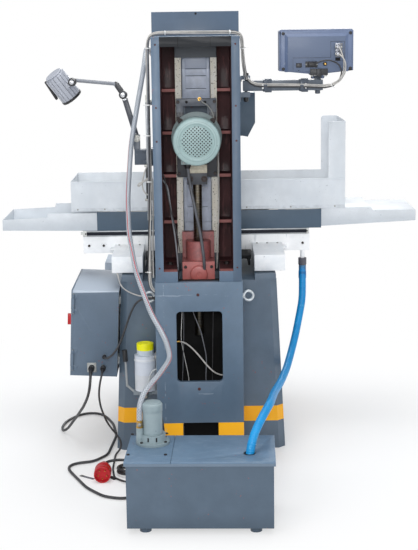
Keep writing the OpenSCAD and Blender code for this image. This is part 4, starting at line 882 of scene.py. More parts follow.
# Saddle: a wide casting that slides on the base's ways and carries the table on its own, with a
# deep skirt at the back, an apron with the table's pinion, and a drain spout under its -X end.
saddle_enamel = enamel("saddle_enamel", card(250, 252, 254), 0.4, card(140, 150, 160))
ways = (saddle_enamel.z > 0.8555) * (saddle_enamel.y < 0.0)
saddle_enamel.cover(ways, card(168, 168, 166), 0.25)
saddle_enamel.cover((saddle_enamel.z > 0.8305) * saddle_enamel.noise(0.03, high=0.5), card(168, 174, 180))
skirt_drip = saddle_enamel.noise(0.008, place=saddle_enamel.stretched(1, 1, 0.1))
saddle_enamel.cover((saddle_enamel.y > 0.0195) * (skirt_drip > 0.9) * 0.35, card(176, 184, 192))
eased_casting("saddle_casting", "saddle", "saddle", saddle_enamel, 0.003, 3)
detail("saddle_screws", "saddle", "black_steel",
       *each(socket_screw, [(x, 12, 792) for x in (-430, -360, 390, 450)], BACK, 5, 4.5))
cover_sheet = enamel("cover_sheet", card(250, 252, 254), 0.35, card(150, 154, 160))
cover_sheet.cover(cover_sheet.noise(0.05, place=cover_sheet.stretched(1, 0.3, 1), high=0.6),
                  card(228, 233, 238))
eased_casting("way_sheets", "way_covers", "saddle", cover_sheet, 0.0006)
detail("cover_screws", "saddle", "black_steel",
       *each(socket_screw, [(x, 44, 798.5) for x in (240, 282, 324, -240, -282, -324)],
             (0, 0.1, 1), 4, 2.6, zinc))
bellows_cloth = moulded("bellows_cloth", card(26, 27, 30), 0.62, 0.0008)
bellows_cloth.cover(bellows_cloth.noise(0.01) * 0.4, card(60, 60, 62), 0.75)
way_bellows = eased_casting("way_bellows", "cross_bellows", None, bellows_cloth, 0.0006)
for point in way_bellows.data.vertices:
    point.co.z = max(point.co.z, 0.7265)
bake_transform(way_bellows)
detail("bellows_posts", "root", "black_rubber",
       *[plate((x - 8, x + 8), (106.5, 114.5), (747, 784), cast_black, 1.5) for x in (205, -205)])
scale_alloy = metal("scale_alloy", card(176, 180, 184), 0.3, (0.05, 1, 1))
scale_alloy.cover(scale_alloy.z.between(0.836, 0.850) * (scale_alloy.y > 0.0195), card(44, 46, 52), 0.4)
scale_alloy.cover((scale_alloy.x > 0.458) + (scale_alloy.x < -0.446), card(206, 208, 206), 0.5)
eased_casting("long_scale", "x_scale", "saddle", scale_alloy, 0.0008)
detail("scale_reader", "saddle", "aluminium",
       *each(socket_screw, ((-448, 20, 843), (462, 20, 843)), BACK, 3, 2.4, black_oxide),
       plate((-60, 12), (20.4, 34), (834, 851), cast_black, 1.5))


# Table: a ground casting with painted edges, one T slot and a rack under it, which a pinion on
# the front handwheel drives. A magnetic chuck with brass bars in its top is clamped on it.
table_iron = metal("table_iron", card(158, 158, 154), 0.26, (0.05, 1, 1))
x, y = table_iron.x, table_iron.y
edge_paint = (y > 0.0245) + (y < -0.2645) + (x > 0.413) + (x < -0.505)
edge_paint = (edge_paint > 0.5) * (table_iron.z < 0.9335)
table_iron.cover(edge_paint, card(71, 90, 108), 0.42)
table_iron.cover(edge_paint * table_iron.noise(0.09, high=0.5), card(61, 80, 97))
table_iron.feed("Metallic", 1 - edge_paint)
eased_casting("table_plate", "table", "table", table_iron, 0.0012)
chuck_steel = metal("chuck_steel", card(176, 176, 172), 0.2, (1, 0.05, 1), 0.12)
bars = (chuck_steel.z > 1.0105) * ((chuck_steel.x * 40 + 0.3) % 1 > 0.78)
chuck_steel.cover(bars, card(198, 164, 92), 0.3)
chuck_steel.cover((chuck_steel.z < 0.96) * 0.5, card(96, 98, 100), 0.4)
eased_casting("chuck_block", "magnetic_chuck", "table", chuck_steel, 0.0008)
clamp_parts = []
for x in (-310, 218):
    clamp_parts.append(plate((x - 14, x + 14), (-142, -102), (924.3, 934), black_oxide, 1))
    clamp_parts += hex_bolt((x, -122, 934), UP, 18, 8, black_oxide)
detail("chuck_clamps", "table", "black_steel", *clamp_parts)
cam_black = metal("cam_black", card(64, 62, 62), 0.34, dull=0.3)
eased_casting("chuck_key", "chuck_cam", "chuck_cam", cam_black, 0.001)
eased_casting("travel_wheel", "table_handwheel", "table_handwheel",
              wheel_finish("travel_wheel_finish", (-0.2, -0.355, 0.838), 0.09), 0.0008)
eased_casting("feed_wheel", "cross_handwheel", "cross_handwheel",
              wheel_finish("feed_wheel_finish", (0.2, -0.55, 0.715), 0.08), 0.0008)


# Pans and splash guard: folded sheet, painted off-white, that catch the coolant at both ends of
# the table and stand round it, with one tall end where the wheel throws its spray.
pan_sheet = enamel("pan_sheet", card(208, 213, 218), 0.35, card(150, 156, 164))
# Painted shade: the pans are painted darker below their top edge.
pan_sheet.cover(pan_sheet.fade(pan_sheet.z, 0.93, 0.862, 0.0, 0.55), card(186, 194, 202))
pan_sheet.cover(pan_sheet.noise(0.03, high=0.25) * pan_sheet.edges(0.004), card(140, 148, 156))
eased_casting("end_pans", "table_wings", "table", pan_sheet, 0.0012)
screen_sheet = enamel("screen_sheet", card(216, 221, 226), 0.35, card(150, 156, 164))
screen_sheet.cover(screen_sheet.noise(0.12, place=screen_sheet.stretched(1, 1, 0.4), high=0.6),
                   card(202, 209, 216))
screen_sheet.cover((screen_sheet.z < 0.952) * screen_sheet.noise(0.02) * 0.4, card(164, 170, 176), 0.6)
eased_casting("splash_screen", "splash_guard", "table", screen_sheet, 0.0006)
detail("splash_fold", "table", "sheet_paint",
       plate((-598, 512), (34.6, 38.4), (1057, 1061), screen_sheet, 0.8),
       plate((-602, -528), (34.6, 38.4), (1286, 1291), screen_sheet, 0.8),
       *[lathe("rivet", [(3.4, 0), (3.2, 0.7), (2, 1.5), (0, 1.8)], (x, 35, 946), BACK, zinc, 16)
         for x in (-560, -380, -200, 0, 200, 380, 490)])


# Cabinet: a folded steel box on the base's leaning side, with a hinged door, a red main switch on
# a yellow plate, switchgear inside and a row of glands at the back for the cables.
cabinet_enamel = enamel("cabinet_enamel", card(92, 109, 127), 0.6)
inner_face = cabinet_enamel.y.between(-0.1465, 0.2965) * cabinet_enamel.z.between(0.316, 0.653)
inner_face = inner_face * cabinet_enamel.x.between(0.30, 0.486)
cabinet_enamel.cover(inner_face * 0.8, card(198, 200, 198), 0.5)
# Painted light: the cabinet's top is painted much paler than its sides.
cabinet_enamel.cover((cabinet_enamel.z > 0.655) * 0.9, card(190, 201, 214), 0.4)
eased_casting("cabinet_box", "cabinet_body", "root", cabinet_enamel, 0.0016)
door_paint = enamel("cabinet_door_paint", card(98, 114, 131), 0.6)
eased_casting("cabinet_lid", "cabinet_door", "cabinet_door", door_paint, 0.0012)
outward = Vector((math.cos(math.radians(2.7294)), 0, math.sin(math.radians(2.7294))))
upward = Vector((-outward.z, 0, outward.x))
side_foot = Vector((340, 0, 0))


def on_side(out, y, rise):
    """A place on the base's leaning side: out from it, along Y, and up it, in millimetres."""
    return side_foot + outward * out + Vector((0, y, 0)) + upward * rise


switch_plate = moulded("switch_yellow", card(238, 190, 22), 0.36)
switch_red = moulded("switch_red", card(196, 24, 30), 0.32)
plate_disc = lathe("switch_disc", [(30.4, 0), (30.4, 5.4), (29.6, 6), (0, 6)],
                   on_side(191.6, 120, 500), outward, switch_plate, 48)
latches = each(socket_screw, [on_side(192.2, -120, rise) for rise in (370, 610)], outward, 9, 3, zinc)
detail("door_fittings", "cabinet_door", "cabinet_parts", plate_disc, *latches)
eased_casting("switch_knob", "main_switch", "main_switch", switch_red, 0.0012)
gear_grey = moulded("switchgear_grey", card(198, 200, 198), 0.5)
behind_cabinet = gear_grey.y > 0.2995
gear_grey.cover(behind_cabinet, card(44, 45, 48), 0.4)
gear_grey.cover(behind_cabinet * (gear_grey.y < 0.3045), card(168, 170, 168), 0.4)
lines = (gear_grey.y * 55) % 1 < 0.08
gear_grey.cover(lines * (1 - behind_cabinet), card(70, 72, 76))
gear_grey.cover(gear_grey.z.between(0.47, 0.49) * (1 - behind_cabinet), card(60, 62, 66))
eased_casting("switchgear", "cabinet_fittings", "root", gear_grey, 0.0008)
glands = [lathe("gland_nut", [(r + 7, 0), (r + 7, 7), (r + 5, 9), (r + 3.4, 10)],
                (x, 322, z), BACK, black_plastic, 8, False)
          for x, z, r in ((430, 352, 5.6), (384, 351, 4.1))]
glands += [tube("lead_relief", mains_path[1:8], 0.0058, black_plastic, 12, lambda s: 1.5 - 11 * s),
           tube("lead_relief", pump_path[1:6], 0.0043, black_plastic, 12, lambda s: 1.5 - 14 * s)]
small_gland = lathe("spare_gland", [(8.4, 0), (8.4, 3), (7.4, 4), (0, 4)],
                    (378, 316, 397), BACK, black_plastic, 8)
flange_screws = each(socket_screw, [(x, 304, z) for z in (337, 367) for x in (416, 444)], BACK, 2.6, 2, zinc)
detail("cable_glands", "root", "cabinet_parts", *glands, small_gland, *flange_screws)
detail("hinge_pins", "root", "cabinet_parts",
       *[lathe("hinge_pin", [(3.5, 0), (3.5, 1.6), (2.6, 2.4), (0, 2.4)],
               on_side(183, 305, rise), upward, zinc, 16)
         for rise in (334, 416, 564, 642)])


# Control box: a small sheet box at the operator's end of the same side, with a green start button
# and a red stop button in steel rings.
panel_enamel = enamel("panel_enamel", card(176, 188, 202), 0.5, card(110, 118, 128))
eased_casting("panel_box", "control_box", "root", panel_enamel, 0.0016)
rings = [lathe("button_ring", [(r + 1, 0), (r + 1, 2.4), (r, 3.4), (r - 1.2, 3.4)],
               on_side(out, -550, 610), FRONT, zinc, 32, False) for out, r in ((36, 14), (74, 19))]
blank = lathe("panel_lamp", [(9, 0), (9, 3), (7, 6), (3, 8), (0, 8.4)], on_side(55, -550, 645), FRONT,
              moulded("lamp_lens_white", card(230, 230, 222), 0.2), 24)
detail("button_rings", "root", "panel_paint", *rings, blank)
start_green = moulded("start_green", card(28, 138, 70), 0.3)
stop_red = moulded("stop_red", card(200, 24, 30), 0.3)
eased_casting("go_button", "start_button", "start_button", start_green, 0.0008)
eased_casting("halt_button", "stop_button", "stop_button", stop_red, 0.0008)


# Lubricator: a milky moulded reservoir on a bracket, with a clear ring at its seam, a yellow-green
# screw cap and a hand lever with a black grip, whose pump feeds the ways through a thin pipe.
milky = moulded("reservoir_plastic", card(211, 217, 227), 0.3)
milky.shader.inputs["Coat Weight"].default_value = 0.2
oil_level = milky.z.between(0.276, 0.335)
milky.cover(oil_level * 0.14, card(186, 176, 138))
milky.cover(milky.z.near(0.3955, 0.0045) * 0.7, card(226, 228, 232), 0.2)
milky.cover((milky.z < 0.2702) + (milky.x < 0.1721), card(128, 138, 146), 0.45)
eased_casting("reservoir", "oil_reservoir", "root", milky, 0.003, 3)
seam_ring = lathe("seam_ring", [(42.6, 0), (44.6, 0.6), (44.6, 5.4), (42.6, 6)],
                  (215, 340, 388), UP, milky, 64)
pump_body = lathe("lever_body", [(12, 0), (12, 14), (9, 18), (9, 26), (6, 28), (0, 28)],
                  (215, 372, 258), BACK, zinc, 24)
oil_pipe = tube("oil_pipe", eased([(215, 384, 262), (214, 398, 270), (206, 402, 300), (192, 398, 352),
                                   (178, 398, 366), (167, 398, 368)], 0.004, 10), 0.0026,
                moulded("nylon_pipe", card(196, 200, 200), 0.35), 8)
detail("reservoir_parts", "root", "grey_plastic", seam_ring, pump_body, oil_pipe,
       *each(hex_bolt, ((172, 308, 408), (172, 372, 408)), (1, 0, 0), 12, 5, zinc))
cap_yellow = moulded("cap_yellow", card(250, 246, 0), 0.4)
# Painted light: the cap's top is painted a paler yellow.
cap_yellow.cover((cap_yellow.z > 0.4572) * 0.5, card(252, 250, 40))
cap_yellow.cover(cap_yellow.z < 0.4325, card(196, 205, 213), 0.35)
eased_casting("filler_cap", "oil_cap", "oil_cap", cap_yellow, 0.0012)
top_ring = lathe("cap_ring", [(24, 0), (24, 1.6), (22, 2.2), (20, 1.6), (20, 0)],
                 (215, 340, 457.8), UP, cap_yellow, 48)
detail("cap_ring", "oil_cap", "grey_plastic", top_ring)
lever_black = moulded("lever_black", card(34, 35, 38), 0.4)
lever_black.cover(lever_black.z < 0.384, card(150, 154, 156), 0.35)
eased_casting("hand_lever", "oil_lever", "oil_lever", lever_black, 0.0016)


# Coolant tank: a sheet box on four feet, with a rolled rim and two lids held by small screws. The
# short lid carries the pump, and the long one has the hole for the drain hose.
tank_enamel = enamel("tank_enamel", card(75, 92, 109), 0.5)
# Painted light and shade: the tank's rim is painted paler and its foot darker towards the floor.
tank_enamel.cover((tank_enamel.z > 0.2415) * 0.6, card(112, 130, 148), 0.4)
tank_enamel.cover(tank_enamel.fade(tank_enamel.z, 0.09, 0.02, 0.0, 0.5), card(60, 75, 90), 0.5)
eased_casting("tank_box", "tank_body", "root", tank_enamel, 0.002, 3)
lid_enamel = enamel("lid_enamel", card(98, 123, 147), 0.5)
wiped = lid_enamel.noise(0.02, place=lid_enamel.stretched(0.4, 1, 1), detail=4.0)
lid_enamel.cover((wiped > 0.72) * lid_enamel.noise(0.09) * 0.35, card(132, 152, 172), 0.5)
eased_casting("lid_plates", "tank_lids", "root", lid_enamel, 0.0012)
lid_top, lid_corners = 258, ((243, 878), (121, 876), (247, 1100), (120, 1106))
lid_screws = each(socket_screw, [(x, y, lid_top) for x, y in lid_corners], UP, 5.5, 3.5)
hole_edge = lathe("hole_edge", [(19.2, 0), (20.4, 0.3), (20.8, 1.2), (20.2, 2), (17.6, 2), (17.2, 0)],
                  (-164, 1102, 257.6), UP, black_plastic, 40)
detail("lid_screws", "root", "black_steel", *lid_screws, hole_edge)


# Coolant pump: a small upright motor on a round flange, painted grey-green, with a domed cap, a gap
# over its base that dark plates show as painted shade, a terminal box at the back and a steel barb that takes
# the clear hose.
pump_enamel = enamel("pump_enamel", card(135, 151, 156), 0.4, card(104, 116, 120))
# Painted light: the pump's dome top is painted paler.
pump_enamel.cover((pump_enamel.z > 0.3955) * 0.4, card(150, 166, 170))
eased_casting("pump_casting", "coolant_pump", "root", pump_enamel, 0.0022, 3)
pump_axis, outlet, flange_top = (167, 973), (211, 987), 268
pump_parts = [lathe("pump_cap", [(35.4, 0), (35.8, 1), (35.8, 22), (34.8, 26), (30, 29.4), (22, 31),
                                 (20, 30), (0, 30)],
                    (*pump_axis, 374), UP, pump_enamel, 56),
              lathe("pump_foot", [(35.6, 0), (35.6, 7), (34.8, 8)], (*pump_axis, 294), UP, pump_enamel,
                    56, False),
              lathe("pump_step", [(46, 0), (46, 3), (44, 5), (38, 5.4)],
                    (*pump_axis, flange_top), UP, pump_enamel, 56, False)]
# The gap over the pump's base: dark plates of painted shade.
pump_parts += [plate((x, x + 16), (1004, 1016.4), (273, 289), hole_shade_and_black, 1.5) for x in (150, 168)]
flange_corners = ((205, 1008), (122, 1001), (125, 942), (203, 940))
pump_parts += each(socket_screw, [(x, y, flange_top) for x, y in flange_corners], UP, 5, 3.6)
pump_parts += [lathe("outlet_collar", [(12.3, 0), (13.4, 1), (13.4, 9), (12.3, 10)],
                     (*outlet, 276), UP, pump_enamel, 32),
               lathe("hose_barb", [(12.4, 0), (12.4, 4), (10.9, 5), (10.4, 26), (9.6, 27)],
                     (*outlet, 318), UP, brass, 32, False),
               plate((206, 216), (997, 1003), (325, 337), zinc, 1),
               lathe("pump_gland", [(9.6, 0), (9.6, 6), (8, 8), (5.4, 9)],
                     (167, 912, 350), FRONT, black_plastic, 8)]
pump_parts += [lathe("clip_band", [(10.2, 0), (10.9, 0.2), (10.9, 1.4), (10.2, 1.6)],
                     (*outlet, z), UP, zinc, 32, False)
               for z in (326, 329, 332, 335)]
detail("pump_parts", "root", "pump_paint", *pump_parts)


# Eyebolts: two lifting eyes on the pedestal's sides, forged and zinc plated.
forged = metal("forged_zinc", card(220, 226, 230), 0.46)
eased_casting("lifting_eyes", "eyebolts", "root", forged, 0.0006)
detail("eye_collars", "root", "black_steel",
       *[lathe("eye_collar", [(12, 0), (12, 3), (10, 5), (7, 5.4)],
               (166 * side, 400, 655), (side, 0, 0), forged, 28)
         for side in (1, -1)])


# Brackets and column scale: dark machined blocks on the column's sides for the lamp and the
# readout's arm, and an aluminium scale with pale end caps that reads the head's height.
block_grey = enamel("block_grey", card(72, 82, 96), 0.5, card(120, 124, 130))
block_grey.cover((block_grey.x < 0) * 0.6, card(112, 124, 138), 0.4)
eased_casting("arm_blocks", "arm_brackets", "root", block_grey, 0.0018, 3)
bracket_screws = [screw for y, side in ((176, FRONT), (226, BACK)) for z in (1154, 1198)
                  for screw in socket_screw((183.6, y, z), side, 4, 3)]
bracket_screws += each(socket_screw, [(-174, y, z) for y in (173, 216) for z in (1397, 1467)],
                       (-1, 0, 0), 4.5, 3.5)
bracket_screws += [lathe("pivot_washer", [(14, 0), (14, 2), (0, 2)], (234, 216, 1249), BACK, zinc, 28),
                   *hex_bolt((234, 218, 1249), BACK, 20, 9, zinc, False),
                   plate((186, 240), (222, 226.5), (1196, 1204), block_grey, 1),
                   plate((193, 207), (222, 240), (1150, 1166), block_grey, 1.5)]
detail("bracket_screws", "root", "black_steel", *bracket_screws)
scale_rail = metal("scale_rail", card(176, 180, 184), 0.3, (1, 1, 0.05))
scale_rail.cover((scale_rail.x > 0.1945) * scale_rail.y.between(0.244, 0.258), card(52, 54, 60), 0.4)
ends = (scale_rail.z > 1.392) + (scale_rail.z < 0.956)
scale_rail.cover(ends, card(214, 214, 208), 0.5)
eased_casting("height_scale", "z_scale", "root", scale_rail, 0.0008)
detail("height_reader", "root", "aluminium", plate((176, 199), (262.3, 276), (1012, 1150), cast_black, 2),
       *[plate((181, 204), (262.3, 279), (z, z + 9), zinc, 1.5) for z in (1143, 1010)])


# Work lamp: two steel arms that fold on friction joints with black knobs, and a turned head with
# cooling grooves at its back and a frosted lens.
arm_grey = enamel("lamp_arm_grey", card(58, 62, 72), 0.4, card(150, 150, 150))
arm_grey.cover((arm_grey.x > 0.268) * (arm_grey.z > 1.405) * 0.6, card(120, 124, 132))
eased_casting("lower_bar", "lamp_lower_arm", "lamp_lower_arm", arm_grey, 0.0008)
arm_bolts = each(hex_bolt, ((278, 208, 1404), (243, 207, 1264)), BACK, 11, 5, chrome)
cheek = plate((-10.5, 10.5), (-7, 7), (-6, 150), arm_grey, 1.2)
leaning = Matrix.Rotation(math.atan2(44, 154), 4, "Y")
cheek.matrix_world = Matrix.Translation(Vector((0.2365, 0.2, 1.259))) @ leaning
detail("lower_cheek", "lamp_lower_arm", "aluminium", cheek, *arm_bolts)
upper_pale = enamel("lamp_arm_pale", card(126, 130, 138), 0.3, card(150, 150, 150))
upper_pale.cover((upper_pale.x < 0.313) + (upper_pale.x > 0.463), card(36, 38, 44), 0.4)
eased_casting("upper_bar", "lamp_upper_arm", "lamp_upper_arm", upper_pale, 0.0012)


def knurled(at, towards, radius, height, finish, flutes=24):
    """A fluted knob, turned with a shallow groove between each pair of ridges."""
    profile = [(radius - 1.5, 0), (radius, 1.5), (radius, height - 2), (radius - 2, height),
               (radius - 5, height + 0.6), (0, height + 0.6)]
    body = lathe("knob", profile, at, towards, finish, flutes * 2)
    centre, axis = Vector(at) / 1000, Vector(towards).normalized()
    for vert in body.data.vertices:
        rel = vert.co - centre
        flat = rel - rel.dot(axis) * axis
        if flat.length > (radius - 2.5) / 1000 and vert.index % 2:
            vert.co -= flat.normalized() * 0.0009
    return body


detail("elbow_knob", "lamp_upper_arm", "aluminium", knurled((282, 215, 1419), BACK, 16.6, 20, black_plastic),
       lathe("elbow_cap", [(10, 0), (10, 2), (8.6, 3), (3, 3.4), (2.6, 2), (0, 2)],
             (282, 235.6, 1419), BACK, chrome, 32))
head_paint = enamel("lamp_head_paint", card(166, 170, 180), 0.3, card(110, 112, 118))
knob_side = head_paint.y > 0.2105
lamp_axis = Vector((-63, -30, -86)).normalized()
lamp_middle = Vector((0.519, 0.148, 1.448))
lamp_side = lamp_axis.cross(Vector(BACK)).normalized()
along_lamp, *from_middle = (
    head_paint.vector("DOT_PRODUCT", head_paint.place, tuple(way), output=1) - lamp_middle.dot(way)
    for way in (lamp_axis, lamp_side, lamp_axis.cross(lamp_side)))
round_lamp = head_paint.maths("ARCTAN2", *from_middle)
# The grooves between the fins are painted darker as shade, and bumped.
grooves_painted_shade = (round_lamp * 2.9 % 1).near(0.5, 0.07) * along_lamp.between(-0.06, 0.045)
head_paint.cover(grooves_painted_shade * 0.8, card(84, 88, 98), 0.5)
head_paint.skin(1 - grooves_painted_shade, 0.0008)
glass = (along_lamp > 0.046) * (1 - knob_side)
head_paint.cover(glass, card(60, 63, 70), 0.35)
head_paint.cover((along_lamp > 0.0535) * (1 - knob_side), card(236, 236, 228), 0.3)
head_paint.cover(knob_side, card(30, 30, 33), 0.4)
eased_casting("lamp_bell", "lamp_head", "lamp_head", head_paint, 0.0016, 3)
tail_cap = lamp_middle * 1000 - lamp_axis * 62
lamp_parts = [lathe("lamp_back", [(33, 0), (36, 1.5), (36, 3), (34, 5), (0, 6)], tail_cap,
                    -lamp_axis, head_paint, 48),
              lathe("lamp_bezel", [(43.3, 0), (44.4, 1), (44.4, 9), (43.3, 10)],
                    lamp_middle * 1000 + lamp_axis * 45, lamp_axis, lever_black, 64),
              knurled((479, 212, 1470), BACK, 14.6, 20, black_plastic),
              lathe("hinge_cap", [(9, 0), (9, 2), (7.6, 3), (3, 3.4), (2.6, 2), (0, 2)],
                    (479, 232.6, 1470), BACK, chrome, 32)]
grip_at, grip_way = Vector((588, 152, 1469)), Vector((-42, -18, -72)).normalized()
lamp_parts.append(lathe("lamp_grip", [(0, -3), (4, -2), (6, 1), (6, 79), (4, 82), (0, 83)], grip_at, grip_way,
                        black_plastic, 16))
lamp_parts += [lathe("grip_foot", [(4, 0), (3.4, 24), (0, 24)], grip_at + grip_way * reach, (-0.81, 0, 0.3),
                     black_plastic, 12) for reach in (22, 60)]
detail("lamp_trim", "lamp_head", "chrome_trim", *lamp_parts)


# Readout: a grey-green case on a swivelling arm. Its back shows corner screws, a raised service
# panel, a frame with three sockets, a mains inlet with a rocker and the cables.
arm_blue = enamel("readout_arm_paint", card(84, 94, 106), 0.4, card(136, 138, 144))
eased_casting("readout_beam", "dro_arm", "dro_arm", arm_blue, 0.002, 3)
white_nylon = grained("white_nylon", card(232, 232, 230), 0.4, 0.001, 0.00008)
clamp_paint = enamel("clamp_paint", card(64, 74, 88), 0.4, card(120, 124, 130))
clamps = []
for low, tie in ((-284, -263), (-426, -431)):
    clamps += [plate((low, low + 22), (142, 188), (1421, 1467), clamp_paint, 1.5),
               plate((low + 6, low + 20), (186, 196), (1425, 1463), clamp_paint, 1.5),
               plate((low - 12, low + 14), (140, 182), (1418, 1470), clamp_paint, 1.5)]
    clamps += [plate((tie, tie + 6), (192, 196), (z - 4, z + 3), white_nylon, 0.6) for z in (1449, 1436)]
clamps += hex_bolt((-477, 160, 1424), DOWN, 20, 13, clamp_paint)
clamps += [lathe("swivel_cap", [(11, 0), (11, 8), (9, 10), (0, 10)],
                 (-196, 160, 1484), UP, black_plastic, 28),
           lathe("swivel_knob", [(9, 0), (10, 1), (10, 14), (6, 19), (0, 19)],
                 (-196, 160, 1400), DOWN, black_plastic, 12)]
detail("arm_clamps", "dro_arm", "readout_case", *clamps)
case_paint = enamel("readout_paint", card(97, 112, 142), 0.4, card(140, 150, 164))
x, y, z = case_paint.x, case_paint.y, case_paint.z
case_middle = -0.4685
panel = (y > 0.1952) * x.near(case_middle, 0.1122) * z.between(1.4968, 1.6312)
case_paint.cover(panel * 0.9, card(86, 100, 125), 0.45)
screen = (y < 0.114) * x.near(case_middle, 0.1296) * z.between(1.5099, 1.644)
case_paint.cover(screen, card(22, 24, 28), 0.25)
digits_x = (x * 62) % 1
digit_rows = (z - 1.5) * 25 % 1
lit = screen * digit_rows.near(0.5, 0.22) * (digits_x > 0.3) * (x < -0.46)
case_paint.cover(lit, card(196, 40, 40), 0.4)
keys = screen * digit_rows.near(0.5, 0.3) * ((x * 48) % 1 > 0.35) * (x > -0.44)
case_paint.cover(keys, card(196, 198, 200), 0.5)
metal_part = (y > 0.2125) * (x < -0.538)
case_paint.cover(metal_part, card(120, 122, 128), 0.3)
case_paint.feed("Metallic", metal_part)
eased_casting("readout_case", "dro_display", "dro_display", case_paint, 0.0022, 3)


def frustum(outer, inner, back, front, finish):
    """A raised panel with sloped sides, between two rectangles (x, x, z, z) on planes of y."""
    mesh = bmesh.new()
    rings = []
    for (x0, x1, z0, z1), y in ((outer, back), (inner, front)):
        corners = metres([(x0, y, z0), (x1, y, z0), (x1, y, z1), (x0, y, z1)])
        rings.append([mesh.verts.new(corner) for corner in corners])
    for k in range(4):
        mesh.faces.new((rings[0][k], rings[0][(k + 1) % 4], rings[1][(k + 1) % 4], rings[1][k]))
    mesh.faces.new(rings[1])
    bmesh.ops.bevel(mesh, geom=mesh.edges[:], offset=0.001, segments=2, profile=0.5, affect="EDGES")
    return creased(link("panel", mesh, finish))


case_parts = [frustum((-607, -330, 1503, 1652), (-605, -332, 1505, 1650), 198.6, 200.4, case_paint),
              frustum((-592, -345, 1496, 1643), (-580, -357, 1497, 1631), 199.9, 210.4, case_paint)]
case_parts += [lathe("corner_screw", [(6.4, 0), (6.4, 1.4), (5, 2.2), (2.6, 2.2), (2.4, 0.8), (0, 0.8)],
                     (x, 199.8, z), BACK, black_plastic, 20) for z in (1643, 1508) for x in (-340, -600)]
# Thin dark strips at the raised panel's steps and round the socket frame: painted shade lines.
shade_line_paint = enamel("readout_shade_lines", card(62, 72, 92), 0.3, card(100, 110, 124))
case_parts += [plate(x, (209.6, 211), z, shade_line_paint, 0.4)
               for x, z in (((-522, -377), (1549, 1551.4)), ((-524, -521.6), (1549, 1612)),
                            ((-577, -574.6), (1538, 1612)), ((-577, -521.6), (1610, 1612.4)),
                            ((-378, -376.4), (1499, 1551.4)), ((-577, -521.6), (1536, 1538)))]
socket_grey = metal("socket_grey", card(150, 152, 158), 0.35)
for z in (1590, 1563):
    case_parts += [plate((-564, -540), (208, 221), (z - 10, z + 10), socket_grey, 1.5),
                   plate((-561, -543), (220, 233), (z - 8, z + 8), socket_grey, 2.5)]
    case_parts += [lathe("thumb_screw", [(3.2, 0), (3.2, 12), (2.2, 13), (0, 13)],
                         (x, 219, z), BACK, zinc, 14)
                   for x in (-563, -541)]
# The socket's opening is a dark plate of painted shade.
case_parts += [plate((-559, -541), (208, 216), (1538, 1549), hole_shade_and_black, 1),
               plate((-472, -425), (209, 214), (1513, 1536), black_plastic, 3),
               plate((-466, -434), (212, 229), (1516, 1534), black_plastic, 5)]
case_parts += [lathe("inlet_screw", [(3, 0), (3, 1), (1.6, 1.8), (0, 1.8)], (x, 214, 1524.5), BACK, zinc, 14)
               for x in (-469, -428)]
rocker_black = moulded("rocker", card(58, 58, 62), 0.3)
earth_at = (-501, 210, 1526)
# The small hole is a dark disc of painted shade.
case_parts += [plate((-411, -389), (209, 213), (1513, 1530), black_plastic, 1.5),
               plate((-407, -393), (212, 214.6), (1516, 1527), rocker_black, 1.5),
               lathe("small_hole", [(1.8, 0), (1.8, 0.6), (0, 0.6)],
                     (-399, 210.2, 1501.5), BACK, hole_shade_and_black, 12),
               lathe("earth_ring", [(8, 0), (8, 3), (6, 4.4), (0, 4.4)], earth_at, BACK, black_plastic, 24),
               lathe("earth_knob", [(4, 3), (4.6, 4), (4.6, 10), (3, 12), (0, 12)],
                     earth_at, BACK, brass, 20),
               plate((-512, -443), (150, 214), (1483, 1508), cast_black, 1.5),
               plate((-486, -468), (206, 219), (1478, 1508), cast_black, 2)]
case_parts += [lathe("hinge_nut", [(4.5, 0), (4.5, 6), (0, 6)], (x, 206, 1484), DOWN, zinc, 6)
               for x in (-504, -451)]
detail("readout_back", "dro_display", "readout_case", *case_parts)


# Cable loom: four round leads, beige, grey and black, tied together with white straps. They climb
# the column's side from the pedestal, cross over its top and end at the readout arm's pivot.
pale_sheath = Finish("pale_sheath", card(196, 193, 188), 0.42)
pale_sheath.cover(pale_sheath.noise(0.05, high=0.6), card(150, 149, 148))
pale_sheath.skin(pale_sheath.noise(0.002), 0.0001)
grey_sheath = Finish("grey_sheath", card(128, 130, 136), 0.45)
grey_sheath.cover(grey_sheath.noise(0.04, high=0.5), card(92, 95, 102))
grey_sheath.skin(grey_sheath.noise(0.002), 0.0001)


def strand(path, offset, turn, twist=0.7):
    """A path that winds slowly round another one, a given distance from it."""
    side, along, points = Vector((0.9, 0.3, 0.2)), 0.0, []
    for i, point in enumerate(path):
        heading = (path[min(i + 1, len(path) - 1)] - path[max(i - 1, 0)]).normalized()
        side = (side - side.dot(heading) * heading).normalized()
        along += (point - path[max(i - 1, 0)]).length
        angle = turn + twist * along * 2 * math.pi
        points.append(point + offset * (math.cos(angle) * side + math.sin(angle) * heading.cross(side)))
    return points


def strap(path, near, radius, tail=14, turn=0.0):
    """A white cable tie round a bundle: its band, its lock and its cut end."""
    near = Vector(near) / 1000
    at = min(range(1, len(path) - 1), key=lambda i: (path[i] - near).length)
    heading = (path[at + 1] - path[at - 1]).normalized()
    side = heading.cross(Vector((0.3, -1, 0.2))).normalized()
    out = math.cos(turn) * side + math.sin(turn) * heading.cross(side)
    centre = path[at] * 1000
    band = [(radius, -2), (radius + 0.9, -2), (radius + 0.9, 2), (radius, 2), (radius, -2)]
    return [lathe("tie_band", band, centre, heading, white_nylon, 20, False),
            lathe("tie_lock", [(0, 0), (3, 0), (3, 4.5), (0, 4.5)],
                  centre + radius * out, out, white_nylon, 4),
            lathe("tie_end", [(0, 0), (1.3, 0.2), (1.1, tail), (0, tail + 0.3)],
                  centre + (radius + 3) * out, out, white_nylon, 4)]


